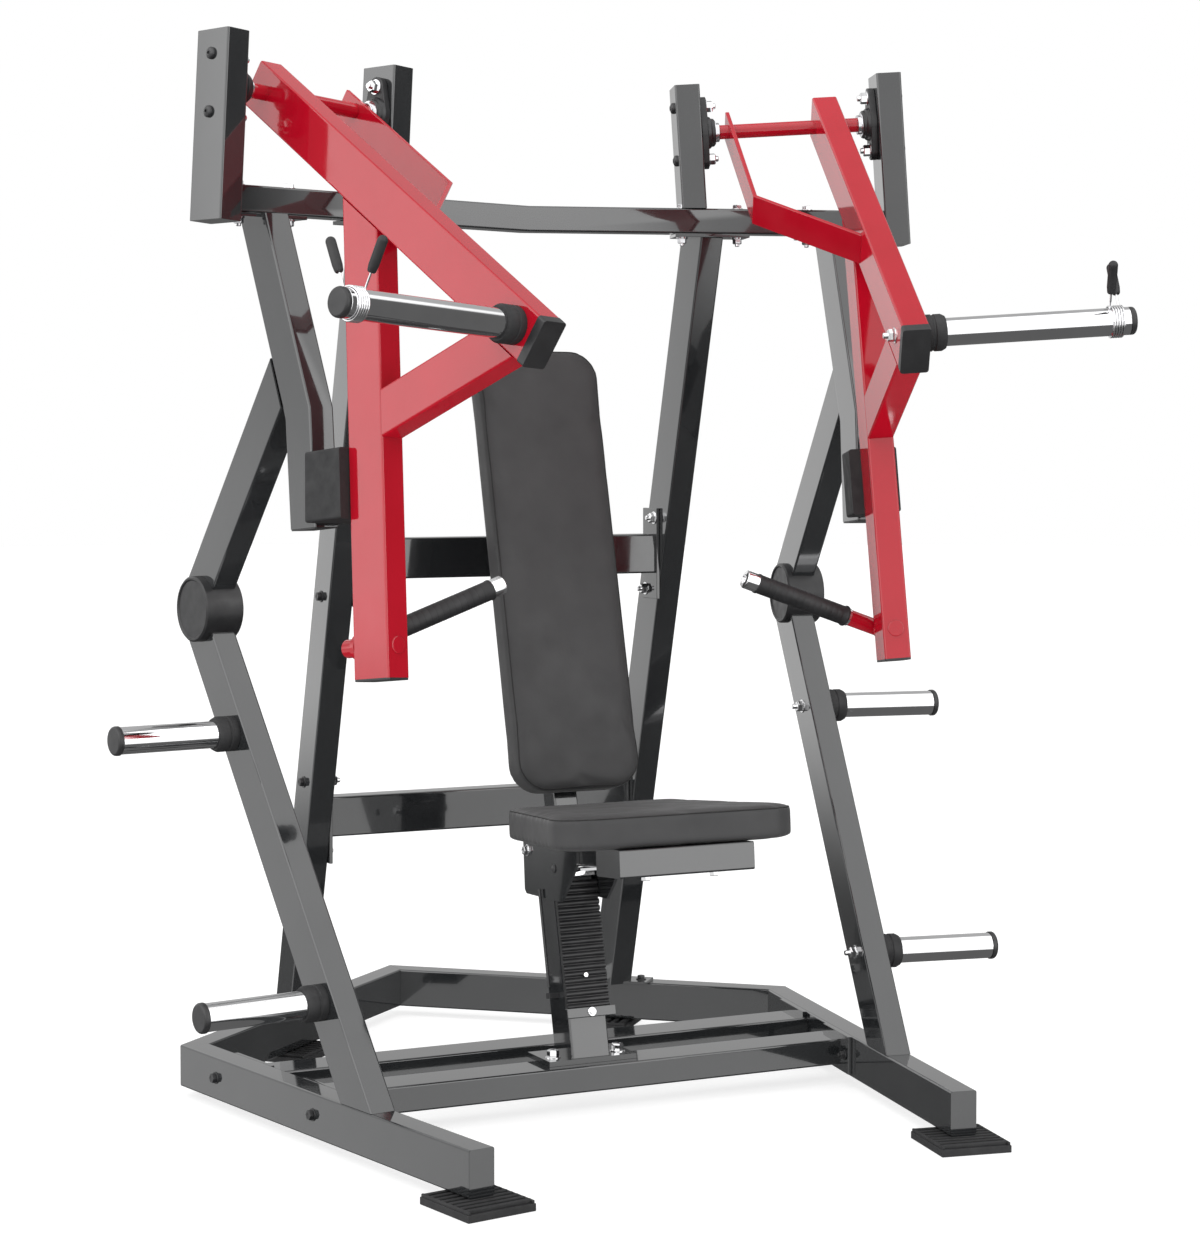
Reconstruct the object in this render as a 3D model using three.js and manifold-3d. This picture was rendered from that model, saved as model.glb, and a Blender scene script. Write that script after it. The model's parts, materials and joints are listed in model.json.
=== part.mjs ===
// Plate-loaded, iso-lateral chest press. Millimetres, +Z up, +X to the right of
// someone who faces the machine's front, -Y towards that person.
// Origin: on the floor, at the centre of the machine's footprint box.

import * as THREE from 'three';
import { mergeVertices } from 'three/addons/utils/BufferGeometryUtils.js';
import Module from 'manifold-3d';

const wasm = await Module();
wasm.setup();

// ---------- driving dimensions ----------

const gap = 0.3;              // clearance between pieces that touch
const cornerRadius = 4;       // outer corner of every rectangular tube
const wall = 3;               // wall of every rectangular tube
const tubeWidth = 50;         // narrow side of the frame's tubes
const tubeDepth = 88;         // wide side of the frame's tubes

// base
const footHeight = 20;
const footWidth = 135;
const footLength = 150;
const footSetBack = 12;       // rail end to foot centre
const rearFootShare = 0.45;   // where the rear foot stands, from the rail to the V's tip
const railHeight = 81;
const railLength = 1016;
const railYaw = 10;           // the rails close in towards the front, degrees
const railRearX = 671;        // outer rear corner of a rail
const railRearY = 264;
const apexY = 867;            // rearmost point of the V behind the seat
const crossHeight = 50;
const crossDrop = 13;         // top of the cross tubes below the top of the rails
const frontCrossY = -202;     // front face of the front cross tube
const midCrossY = 7;          // front face of the middle cross tube

// legs, hub and stop post
const legFootX = 532.5;       // centre of the lower leg on top of the rail
const legFootY = -376;
const legJointX = 641;        // where the lower and upper legs meet
const legJointY = 203;
const legJointZ = 948;
const hubX = 638;
const hubReach = 24;           // the hub's rear past the legs' joint
const hubZ = 948;
const hubRadius = 62;
const hubLength = 79;
const hubChamfer = 5;
const legTopX = 595;          // a point on the upper leg's centre line
const legTopY = -75;
const legTopZ = 1300;
const stopEndZ = 1109;
const stopEndX = 567;
const stopEndY = -215;
const stopBendX = 570;
const stopBendY = -198;
const stopBendZ = 1313;
const stopTopX = 600;
const bumperWidth = 92;
const bumperHeight = 125;
const bumperDrop = 700;       // bumper centre below the pivot axis

// rear uprights and their cross tubes
const uprightFootX = 362;
const uprightFootY = 481;
const uprightTopX = 356.5;
const uprightTopY = 43.6;
const uprightRefZ = 1725;
const upperCrossZ = 1034;     // centre height
const lowerCrossZ = 512;
const rearCrossHeight = 80;
const rearCrossDepth = 50;

// top beam and pivot posts
const topBeamZ = 1675;        // underside
const topBeamHeight = 50;
const topBeamDepth = 50;
const topBeamApexY = 131;     // centre line at the middle
const topBeamYaw = 16.4;
const postRefZ = 1656.5;
const outerPostX = 709.6;
const outerPostY = -99;
const outerPostLength = 339;
const innerPostX = 334.2;
const innerPostY = 50;
const innerPostTopZ = 1968;

// arm frame: yawed and rolled so that both arms close in as they swing forward
const armYaw = 20.34;
const armRoll = 3.66;
const pivotX = 672.6;
const pivotY = -85.2;
const pivotZ = 1898.4;
const shaftRadius = 14;
const shaftInnerEnd = -338;   // along the pivot axis, outward positive
const shaftOuterEnd = -14;
const armCentre = -98;        // centre plane of the arm's tubes on the pivot axis
const beamAngle = 33.2;       // arm beam below the horizontal
const beamStart = -42;        // along the beam, from the pivot axis
const beamEnd = 858;
const leverAngle = 6.0;       // lever from the vertical, towards the front
const leverRefF = 325;        // a point on the lever's centre line
const leverRefV = -699;
const leverEndV = -1041;
const braceAngle = 22.5;
const braceRefF = 360;
const braceRefV = -581;
const braceDepth = 80;
const linkWidth = 60;
const linkThickness = 8;
const linkPlane = -294;
const linkBend = 308;         // along the beam
const linkOffset = -8;

// plate horns
const hornRadius = 25;
const hornBore = 21;
const hornAlong = 805;        // horn axis along the arm beam
const hornTip = 311;          // tip on the pivot axis scale
const collarRadius = 33;
const collarLength = 38;
const capRadius = 27;
const capLength = 12;
const storageReach = 242;     // leg face to the cap's tip
const storageUpperZ = 722;
const storageLowerZ = 269;

// spring clip
const clipWire = 4.5;
const clipWidth = 27;
const clipAt = 262;           // inner edge on the pivot axis scale
const clipLegLength = 52;
const clipGripRadius = 8.5;
const clipGripLength = 62;
const clipSpread = 26;        // each leg from the vertical, degrees

// handle
const handleRadius = 16;
const handleTipK = -374;
const handleTipF = 367;
const handleTipV = -870;
const bossRadius = 26;
const bossThickness = 10;
const bossV = -985;

// bearing units
const bearingHeight = 143;
const bearingWidth = 62;
const bearingPlate = 13;
const bearingHubRadius = 31;
const bearingHubLength = 30;

// seat and back
const seatFrontY = -571;
const seatRearY = -162;
const seatFrontHalf = 256;
const seatRearHalf = 176;
const seatTopFront = 613;     // height of the seat's top at its front edge
const seatTilt = 4.5;
const seatThickness = 62;
const seatFrontCorner = 62;
const seatRearCorner = 8;
const seatBeamWidth = 268;
const seatBeamHeight = 50;
const seatBeamDepth = 95;
const seatBeamSetBack = 8;
const postLean = 13.4;        // seat post from the vertical, towards the rear
const seatPostSize = 80;
const seatPostFrontY = -172;  // front face at the base plate
const seatPostTopZ = 505;
const basePlateWidth = 182;
const basePlateDepth = 100;
const basePlateThickness = 10;
const rackOverhang = 4;       // rack past each side of the post
const rackPitch = 12.2;
const rackTeeth = 21;
const rackStart = 78;         // along the post from the base plate
const rackBack = 6;
const rackTooth = 5.4;
const carriageWall = 6;
const carriageClearance = 5;  // carriage cheek to the side of the post
const seatArmEnd = 438;       // rear end of the seat's support arm, from the seat's front
const cheekPastPost = 523;    // rear end of the cheeks from the seat's front, less the post's depth
const cheekDepth = 118;
const gussetStart = 362;
const rollerRadius = 9;
const rollerZ = 492;
const latchZ = 446;
const latchAhead = 26;        // latch pin ahead of the post's front face
const latchPinRadius = 7;
const padLean = 14;
const padBottomY = -140;      // front face at its lower edge
const padBottomZ = 597;
const padLength = 880;
const padWidth = 270;
const padThickness = 64;
const padCorner = 62;
const spineSize = 50;
const boardThickness = 20;

// ---------- derived values ----------

const degrees = Math.PI / 180;
const rackWidth = seatPostSize + 2 * rackOverhang;
const carriageInner = seatPostSize / 2 + carriageClearance;  // half the space between the cheeks
const cheekRear = cheekPastPost + seatPostSize;
const railTop = footHeight + railHeight;
const crossTop = railTop - crossDrop;
const lateral = new THREE.Vector3(1, 0, 0);
const upward = new THREE.Vector3(0, 0, 1);
const railForward = new THREE.Vector3(-Math.sin(railYaw * degrees), -Math.cos(railYaw * degrees), 0);
const railOutward = new THREE.Vector3(Math.cos(railYaw * degrees), -Math.sin(railYaw * degrees), 0);
const topBeamSlope = Math.tan(topBeamYaw * degrees);
const pivotCentre = new THREE.Vector3(pivotX, pivotY, pivotZ);
const pivotAxis = new THREE.Vector3(
  Math.cos(armYaw * degrees) * Math.cos(armRoll * degrees),
  -Math.sin(armYaw * degrees) * Math.cos(armRoll * degrees),
  Math.sin(armRoll * degrees),
);

// ---------- colours ----------

const paint = { color: 0x3c3d3f, roughness: 0.22, metalness: 0.6 };
const red = { color: 0xb00d25, roughness: 0.25, metalness: 0.3 };
const chrome = { color: 0xe8e8ea, roughness: 0.08, metalness: 1 };
const rubber = { color: 0x1d1d1e, roughness: 0.8, metalness: 0 };
const casting = { color: 0x2a2b2d, roughness: 0.5, metalness: 0.7 };
const vinyl = { color: 0x2c2c2d, roughness: 0.55, metalness: 0 };

// ---------- helpers ----------

const machine = new THREE.Group();

function point(x, y, z) {
  return new THREE.Vector3(x, y, z);
}

function mirrored(vector, side) {
  return new THREE.Vector3(vector.x * side, vector.y, vector.z);
}

function addMesh(parent, name, geometry, finish) {
  const mesh = new THREE.Mesh(geometry, new THREE.MeshStandardMaterial(finish));
  mesh.name = name;
  parent.add(mesh);
  return mesh;
}

function toSolid(geometry) {
  const bare = geometry.clone();
  bare.deleteAttribute('normal');
  bare.deleteAttribute('uv');
  const merged = mergeVertices(bare, 1e-4);
  return new wasm.Manifold(new wasm.Mesh({
    numProp: 3,
    vertProperties: Float32Array.from(merged.attributes.position.array),
    triVerts: Uint32Array.from(merged.index.array),
  }));
}

function fromSolid(solid) {
  const mesh = solid.getMesh();
  const geometry = new THREE.BufferGeometry();
  geometry.setAttribute('position', new THREE.BufferAttribute(new Float32Array(mesh.vertProperties), 3));
  geometry.setIndex(new THREE.BufferAttribute(new Uint32Array(mesh.triVerts), 1));
  return geometry;
}

function join(...geometries) {
  return fromSolid(geometries.map(toSolid).reduce((all, next) => all.add(next)));
}

function cut(geometry, ...tools) {
  return fromSolid(tools.map(toSolid).reduce((rest, tool) => rest.subtract(tool), toSolid(geometry)));
}

// A rectangle with rounded corners, centred on the origin.
function roundedRectangle(width, height, radius) {
  const x = width / 2 - radius;
  const y = height / 2 - radius;
  const shape = new THREE.Shape();
  shape.absarc(x, y, radius, 0, Math.PI / 2);
  shape.absarc(-x, y, radius, Math.PI / 2, Math.PI);
  shape.absarc(-x, -y, radius, Math.PI, 1.5 * Math.PI);
  shape.absarc(x, -y, radius, 1.5 * Math.PI, 2 * Math.PI);
  return shape;
}

function rectanglePath(width, height) {
  const x = width / 2;
  const y = height / 2;
  return new THREE.Path([
    new THREE.Vector2(-x, -y), new THREE.Vector2(-x, y), new THREE.Vector2(x, y), new THREE.Vector2(x, -y),
  ]);
}

// Section of a rectangular tube. Its wall can be left out for a solid bar.
function tubeSection(width, depth, wallThickness) {
  const shape = roundedRectangle(width, depth, cornerRadius);
  if (wallThickness > 0) {
    shape.holes.push(rectanglePath(width - 2 * wallThickness, depth - 2 * wallThickness));
  }
  return shape;
}

// Sweeps a section along straight runs. Each run's direction is kept up to the plane at
// its end, so bends are mitred. The planes at the two ends are square unless they are given.
function sweep(section, points, widthAxis, { startPlane, endPlane, segments = 3 } = {}) {
  const runs = points.slice(1).map((end, i) => end.clone().sub(points[i]).normalize());
  const planes = points.map((at, i) => {
    const before = runs[Math.max(i - 1, 0)];
    const after = runs[Math.min(i, runs.length - 1)];
    return new THREE.Plane().setFromNormalAndCoplanarPoint(before.clone().add(after).normalize(), at);
  });
  if (startPlane) planes[0] = startPlane;
  if (endPlane) planes[points.length - 1] = endPlane;
  const steps = points.length - 1;
  const geometry = new THREE.ExtrudeGeometry(section, {
    depth: steps, steps, bevelEnabled: false, curveSegments: segments,
  });
  const position = geometry.attributes.position;
  for (let i = 0; i < position.count; i += 1) {
    const ring = Math.round(position.getZ(i));
    const direction = runs[Math.max(ring - 1, 0)];
    const right = widthAxis.clone().addScaledVector(direction, -widthAxis.dot(direction)).normalize();
    const over = direction.clone().cross(right);
    const vertex = points[ring].clone()
      .addScaledVector(right, position.getX(i))
      .addScaledVector(over, position.getY(i));
    const plane = planes[ring];
    vertex.addScaledVector(direction, -plane.distanceToPoint(vertex) / plane.normal.dot(direction));
    position.setXYZ(i, vertex.x, vertex.y, vertex.z);
  }
  geometry.computeVertexNormals();
  return geometry;
}

function planeAt(at, normal) {
  return new THREE.Plane().setFromNormalAndCoplanarPoint(normal.clone().normalize(), at);
}

function bar(width, depth, height) {
  return new THREE.BoxGeometry(width, depth, height);
}

// A cylinder or cone frustum between two points.
function rod(from, to, radiusFrom, radiusTo = radiusFrom, sides = 32) {
  const length = from.distanceTo(to);
  const geometry = new THREE.CylinderGeometry(radiusTo, radiusFrom, length, sides);
  const turn = new THREE.Quaternion().setFromUnitVectors(
    new THREE.Vector3(0, 1, 0), to.clone().sub(from).normalize());
  geometry.applyQuaternion(turn);
  const middle = from.clone().add(to).multiplyScalar(0.5);
  geometry.translate(middle.x, middle.y, middle.z);
  return geometry;
}

// A turned piece from (radius, height) pairs, its axis laid from one point towards another.
function turned(profile, from, towards, sides = 40) {
  const geometry = new THREE.LatheGeometry(profile.map(([r, h]) => new THREE.Vector2(r, h)), sides);
  const turn = new THREE.Quaternion().setFromUnitVectors(
    new THREE.Vector3(0, 1, 0), towards.clone().sub(from).normalize());
  geometry.applyQuaternion(turn);
  geometry.translate(from.x, from.y, from.z);
  return geometry;
}

function sideName(side) {
  return side > 0 ? 'right' : 'left';
}

// ---------- base ----------

function railRearCorner(side) {
  return point(railRearX * side, railRearY, footHeight + railHeight / 2);
}

// The rail and its half of the V meet on the line that halves their corner.
function cornerPlane(side, shift) {
  const corner = railRearCorner(side);
  const forward = mirrored(railForward, side);
  const toApex = point(0, apexY, corner.z).sub(corner).normalize();
  const along = forward.clone().add(toApex).normalize();
  const normal = along.clone().cross(upward).multiplyScalar(side);
  return planeAt(corner.clone().addScaledVector(normal, shift), normal);
}

function buildRail(side) {
  const outward = mirrored(railOutward, side);
  const forward = mirrored(railForward, side);
  const rear = railRearCorner(side).addScaledVector(outward, -tubeWidth / 2);
  const front = rear.clone().addScaledVector(forward, railLength);
  const section = tubeSection(tubeWidth, railHeight, wall);
  const rail = sweep(section, [rear, front], outward, { startPlane: cornerPlane(side, -gap / 2) });
  addMesh(machine, `base_rail_${sideName(side)}`, rail, paint);
}

function buildRearBaseBeam(side) {
  const corner = railRearCorner(side);
  const apex = point(0, apexY, corner.z);
  const along = apex.clone().sub(corner).normalize();
  const inward = along.clone().cross(upward).multiplyScalar(-side);
  const start = corner.clone().addScaledVector(inward, tubeWidth / 2);
  const end = apex.clone().addScaledVector(inward, tubeWidth / 2);
  const section = tubeSection(tubeWidth, railHeight, wall);
  const middle = planeAt(point(side * gap / 2, 0, 0), lateral);
  const geometry = sweep(section, [start, end], inward,
    { startPlane: cornerPlane(side, gap / 2), endPlane: middle });
  addMesh(machine, `rear_base_beam_${sideName(side)}`, geometry, paint);
}

function railFaceX(y) {
  const run = (railRearY - y) / Math.cos(railYaw * degrees);
  return railRearX - run * Math.sin(railYaw * degrees) - tubeWidth / Math.cos(railYaw * degrees);
}

// Cross tubes lie flat between the rails, each end cut to the rail's face.
function buildBaseCross(name, frontY) {
  const centreY = frontY + tubeDepth / 2;
  const z = crossTop - crossHeight / 2;
  const reach = railFaceX(centreY) - gap;
  const planes = [-1, 1].map((side) => planeAt(point(side * reach, centreY, z), mirrored(railOutward, side)));
  const section = tubeSection(tubeDepth, crossHeight, wall);
  const geometry = sweep(section, [point(-reach, centreY, z), point(reach, centreY, z)], point(0, 1, 0),
    { startPlane: planes[0], endPlane: planes[1] });
  addMesh(machine, name, geometry, paint);
}

// A square pad, with shallow ribs across its top either side of the rail's seat.
function footGeometry() {
  const pad = sweep(roundedRectangle(footWidth, footLength, 6),
    [point(0, 0, 0), point(0, 0, footHeight - gap)], lateral);
  const grooves = [-1, 1].map((side) => bar(footWidth * 0.2, footLength - 20, 8)
    .translate(side * footWidth * 0.35, 0, footHeight));
  return cut(pad, ...grooves);
}

function buildFeet(side) {
  const outward = mirrored(railOutward, side);
  const forward = mirrored(railForward, side);
  const front = railRearCorner(side)
    .addScaledVector(outward, -tubeWidth / 2)
    .addScaledVector(forward, railLength - footSetBack);
  const foot = addMesh(machine, `front_foot_${sideName(side)}`, footGeometry(), rubber);
  foot.position.set(front.x, front.y, 0);
  foot.rotation.z = -side * railYaw * degrees;
  const corner = railRearCorner(side);
  const along = point(0, apexY, corner.z).sub(corner).normalize();
  const inward = along.clone().cross(upward).multiplyScalar(-side);
  const beamAt = corner.clone().lerp(point(0, apexY, corner.z), rearFootShare).addScaledVector(inward, tubeWidth / 2);
  const rear = addMesh(machine, `rear_foot_${sideName(side)}`, footGeometry(), rubber);
  rear.position.set(beamAt.x, beamAt.y, 0);
  rear.rotation.z = Math.atan2(inward.y, inward.x);
}

// ---------- legs ----------

function legJoint(side) {
  return mirrored(point(legJointX, legJointY, legJointZ), side);
}

function upperLegDirection(side) {
  return mirrored(point(legTopX, legTopY, legTopZ), side).sub(legJoint(side)).normalize();
}

// The mitre between the two legs, moved up the legs by shift.
function legMitre(side, shift) {
  const normal = mirrored(legDirection(), side).add(upperLegDirection(side)).normalize();
  return planeAt(legJoint(side).addScaledVector(normal, shift), normal);
}

function legDirection() {
  return legJoint(1).sub(point(legFootX, legFootY, railTop)).normalize();
}

function legCentre(z) {
  const foot = point(legFootX, legFootY, railTop);
  return foot.addScaledVector(legDirection(), (z - railTop) / legDirection().z);
}

function buildLowerLeg(side) {
  const foot = mirrored(point(legFootX, legFootY, railTop + gap), side);
  const tube = sweep(tubeSection(tubeWidth, tubeDepth, wall), [foot, legJoint(side)], mirrored(railOutward, side),
    { startPlane: planeAt(foot, upward), endPlane: legMitre(side, -gap / 2) });
  addMesh(machine, `lower_leg_${sideName(side)}`, cut(tube, hubDrum(side, gap)), paint);
}

// The stop post hangs from the top beam, bends and ends in a plumb-looking stub.
function stopPostPoints(side) {
  const topY = topBeamApexY - stopTopX * topBeamSlope;
  const top = mirrored(point(stopTopX, topY, topBeamZ - gap), side);
  const bend = mirrored(point(stopBendX, stopBendY, stopBendZ), side);
  const end = mirrored(point(stopEndX, stopEndY, stopEndZ), side);
  return [top, bend, end];
}

function buildUpperLeg(side) {
  const [top, bend] = stopPostPoints(side);
  const postRun = bend.clone().sub(top).normalize();
  const outward = mirrored(railOutward, side);
  const facing = postRun.clone().cross(outward).multiplyScalar(side).normalize();
  const rearward = facing.y < 0 ? facing.negate() : facing;
  const rearFace = planeAt(bend.clone().addScaledVector(rearward, tubeDepth / 2 + 2 * gap), rearward);
  const end = legJoint(side).addScaledVector(upperLegDirection(side), 600);
  const tube = sweep(tubeSection(tubeWidth, tubeDepth, wall), [legJoint(side), end], outward,
    { startPlane: legMitre(side, gap / 2), endPlane: rearFace });
  addMesh(machine, `upper_leg_${sideName(side)}`, cut(tube, hubDrum(side, gap)), paint);
}

function hubEnds(side, length) {
  const outward = mirrored(railOutward, side);
  const centre = mirrored(point(hubX, legJointY + hubReach - hubRadius, hubZ), side);
  return [-1, 1].map((end) => centre.clone().addScaledVector(outward, end * length / 2));
}

function hubDrum(side, clearance) {
  const [inner, outer] = hubEnds(side, hubLength + 2);
  return rod(inner, outer, hubRadius + clearance, hubRadius + clearance, 48);
}

function buildHub(side) {
  const [inner, outer] = hubEnds(side, hubLength);
  const rim = hubRadius - hubChamfer;
  const profile = [[0, 0], [rim, 0], [hubRadius, hubChamfer], [hubRadius, hubLength - hubChamfer],
    [rim, hubLength], [0, hubLength]];
  addMesh(machine, `knee_hub_${sideName(side)}`, turned(profile, inner, outer, 48), casting);
}

function buildStopPost(side) {
  const points = stopPostPoints(side);
  const geometry = sweep(tubeSection(tubeWidth, tubeDepth, wall), points, mirrored(railOutward, side),
    { startPlane: planeAt(points[0], upward) });
  addMesh(machine, `stop_post_${sideName(side)}`, geometry, paint);
}

// ---------- rear uprights ----------

function uprightCentre(z) {
  const share = (z - railTop) / (uprightRefZ - railTop);
  return point(
    uprightFootX + (uprightTopX - uprightFootX) * share,
    uprightFootY + (uprightTopY - uprightFootY) * share,
    z,
  );
}

function buildUpright(side) {
  const foot = mirrored(uprightCentre(railTop + gap), side);
  const top = mirrored(uprightCentre(topBeamZ - gap), side);
  const geometry = sweep(tubeSection(tubeWidth, tubeDepth, wall), [foot, top], lateral,
    { startPlane: planeAt(foot, upward), endPlane: planeAt(top, upward) });
  addMesh(machine, `rear_upright_${sideName(side)}`, geometry, paint);
}

function buildRearCross(name, z) {
  const centre = uprightCentre(z);
  const reach = centre.x - tubeWidth / 2 - gap;
  const section = tubeSection(rearCrossDepth, rearCrossHeight, wall);
  const geometry = sweep(section, [point(-reach, centre.y, z), point(reach, centre.y, z)], point(0, 1, 0));
  addMesh(machine, name, geometry, paint);
}

// ---------- top beam and pivot posts ----------

function postDirection(side) {
  const roll = armRoll * degrees;
  const yaw = armYaw * degrees;
  return mirrored(point(-Math.cos(yaw) * Math.sin(roll), Math.sin(yaw) * Math.sin(roll), Math.cos(roll)), side);
}

function outerPostCentre() {
  return point(outerPostX, outerPostY, postRefZ);
}

function innerPostCentre() {
  return point(innerPostX, innerPostY, postRefZ);
}

// Where a post's near face crosses the pivot axis.
function postFace(centre, towards) {
  return centre.clone().sub(pivotCentre).dot(pivotAxis) + towards * tubeWidth / 2;
}

function postOutward(side) {
  return mirrored(point(Math.cos(armYaw * degrees), -Math.sin(armYaw * degrees), 0), side);
}

function buildPost(name, side, centre, from, to, seated) {
  const direction = postDirection(side);
  const start = mirrored(centre, side).addScaledVector(direction, from);
  const end = mirrored(centre, side).addScaledVector(direction, to);
  const geometry = sweep(tubeSection(tubeWidth, tubeDepth, wall), [start, end], postOutward(side),
    seated ? { startPlane: planeAt(start, upward) } : {});
  addMesh(machine, name, geometry, paint);
}

function buildPosts(side) {
  const outer = outerPostCentre();
  buildPost(`outer_post_${sideName(side)}`, side, outer, 0, outerPostLength, false);
  const inner = innerPostCentre();
  const rise = topBeamZ + topBeamHeight + gap - postRefZ;
  buildPost(`inner_post_${sideName(side)}`, side, inner, rise / Math.cos(armRoll * degrees),
    innerPostTopZ - postRefZ, true);
}

function buildTopBeam() {
  const z = topBeamZ + topBeamHeight / 2;
  const ends = [-1, 1].map((side) => {
    const direction = postDirection(side);
    const outward = mirrored(point(1, -topBeamSlope, 0), side).normalize();
    const face = mirrored(point(outerPostX, outerPostY, postRefZ), side)
      .addScaledVector(postOutward(side), -tubeWidth / 2 - 2 * gap);
    const normal = postOutward(side).addScaledVector(direction, -postOutward(side).dot(direction));
    const along = point(side * outerPostX, topBeamApexY - outerPostX * topBeamSlope, z);
    return { along, plane: planeAt(face, normal), outward };
  });
  const points = [ends[0].along, point(0, topBeamApexY, z), ends[1].along];
  const geometry = sweep(tubeSection(topBeamDepth, topBeamHeight, wall), points, point(0, 1, 0),
    { startPlane: ends[0].plane, endPlane: ends[1].plane });
  addMesh(machine, 'top_beam', geometry, paint);
}

// ---------- arms ----------

// Each arm has a group whose X runs forward in the swing plane, Y along the pivot axis
// (outward times the side) and Z up the swing plane. Its origin is on the pivot axis.
function armGroup(side) {
  const outward = mirrored(pivotAxis, side);
  const forward = mirrored(point(-Math.sin(armYaw * degrees), -Math.cos(armYaw * degrees), 0), side);
  const axisY = outward.multiplyScalar(side);
  const axisZ = forward.clone().cross(axisY);
  const group = new THREE.Group();
  group.quaternion.setFromRotationMatrix(new THREE.Matrix4().makeBasis(forward, axisY, axisZ));
  group.position.copy(mirrored(pivotCentre, side));
  machine.add(group);
  return group;
}

// Point of the arm's centre plane, along and above the arm beam's centre line.
function beamPoint(along, above, k, side) {
  const angle = beamAngle * degrees;
  return point(
    along * Math.cos(angle) + above * Math.sin(angle),
    k * side,
    -along * Math.sin(angle) + above * Math.cos(angle),
  );
}

function beamNormal() {
  return point(Math.sin(beamAngle * degrees), 0, Math.cos(beamAngle * degrees));
}

function buildArmBeam(group, side) {
  const across = point(0, 1, 0);
  const tube = sweep(tubeSection(tubeWidth, tubeDepth, wall),
    [beamPoint(beamStart, 0, armCentre, side), beamPoint(beamEnd, 0, armCentre, side)], across);
  const shaft = rod(point(0, shaftInnerEnd * side, 0), point(0, shaftOuterEnd * side, 0), shaftRadius);
  addMesh(group, `arm_beam_${sideName(side)}`, join(tube, shaft), red);
}

function underBeam(extra, side) {
  const face = beamPoint(0, -tubeDepth / 2 - extra, armCentre, side);
  return planeAt(face, beamNormal());
}

function leverPoint(v, side) {
  return point(leverRefF + (leverRefV - v) * Math.tan(leverAngle * degrees), armCentre * side, v);
}

function leverNormal() {
  return point(Math.cos(leverAngle * degrees), 0, Math.sin(leverAngle * degrees));
}

function buildLever(group, side) {
  const geometry = sweep(tubeSection(tubeWidth, tubeDepth, wall),
    [leverPoint(leverEndV, side), leverPoint(-200, side)], point(0, 1, 0),
    { endPlane: underBeam(gap, side) });
  addMesh(group, `arm_lever_${sideName(side)}`, geometry, red);
}

function buildBrace(group, side) {
  const start = point(braceRefF, armCentre * side, braceRefV);
  const direction = point(Math.cos(braceAngle * degrees), 0, Math.sin(braceAngle * degrees));
  const face = planeAt(leverPoint(braceRefV, side)
    .addScaledVector(leverNormal(), tubeDepth / 2 + gap), leverNormal());
  const geometry = sweep(tubeSection(tubeWidth, braceDepth, wall),
    [start, start.clone().addScaledVector(direction, 300)], point(0, 1, 0),
    { startPlane: face, endPlane: underBeam(gap, side) });
  addMesh(group, `arm_brace_${sideName(side)}`, geometry, red);
}

// A flat bar clamped on the shaft's inner end, bent across to the beam's inner face.
function buildLink(group, side) {
  const beamFace = armCentre - tubeWidth / 2 - gap;
  const run = beamFace - linkPlane;
  const points = [
    beamPoint(beamStart, linkOffset, linkPlane, side),
    beamPoint(linkBend, linkOffset, linkPlane, side),
    beamPoint(linkBend + run, linkOffset, beamFace, side),
  ];
  const section = roundedRectangle(linkWidth, linkThickness, 1.5);
  const strip = sweep(section, points, beamNormal(), { endPlane: planeAt(points[2], point(0, 1, 0)), segments: 2 });
  const hole = rod(point(0, (linkPlane - 20) * side, 0), point(0, (linkPlane + 20) * side, 0), shaftRadius + gap);
  addMesh(group, `arm_link_${sideName(side)}`, cut(strip, hole), red);
}

function hornAxisPoint(k, side) {
  return beamPoint(hornAlong, 0, k, side);
}

// Chrome tube with a rubber collar at its root and a domed cap at its tip, on one profile.
function hornProfile(length, tipRadius) {
  return [
    [hornBore - 4, 0], [collarRadius - 3, 0], [collarRadius, 3], [collarRadius, collarLength - 8],
    [collarRadius - 5, collarLength], [hornRadius, collarLength], [hornRadius, length - capLength],
    [tipRadius, length - capLength], [tipRadius, length - 4], [tipRadius - 6, length], [0, length],
    [0, length - capLength], [hornBore - 4, length - capLength], [hornBore - 4, 0],
  ];
}

function buildArmHorn(group, side) {
  const root = armCentre + tubeWidth / 2 + gap;
  const geometry = turned(hornProfile(hornTip - root, hornRadius), hornAxisPoint(root, side),
    hornAxisPoint(hornTip, side));
  addMesh(group, `arm_horn_${sideName(side)}`, geometry, chrome);
}

// Coil body round the horn, with two wire legs that end in rubber grips.
function buildSpringClip(group, side) {
  const inner = hornRadius + gap + 0.2;
  const outer = inner + clipWire;
  const profile = [[inner, 0], [outer, 0], [outer, clipWidth], [inner, clipWidth], [inner, 0]];
  let clip = turned(profile, hornAxisPoint(clipAt, side), hornAxisPoint(clipAt + clipWidth, side));
  [-1, 1].forEach((lean) => {
    const along = clipAt + clipWidth / 2 + lean * (clipWidth / 2 - clipWire / 2);
    const base = hornAxisPoint(along, side);
    const angle = clipSpread * lean * degrees;
    const away = point(Math.sin(angle), 0, Math.cos(angle));
    const start = base.clone().addScaledVector(away, inner + clipWire / 2);
    const mid = base.clone().addScaledVector(away, outer + clipLegLength - 22);
    const tip = mid.clone().addScaledVector(away, clipGripLength);
    clip = join(clip, rod(start, mid.clone().addScaledVector(away, 10), clipWire / 2, clipWire / 2, 10),
      rod(mid, tip, clipGripRadius, clipGripRadius, 16));
  });
  addMesh(group, `spring_clip_${sideName(side)}`, clip, chrome);
}

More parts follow.
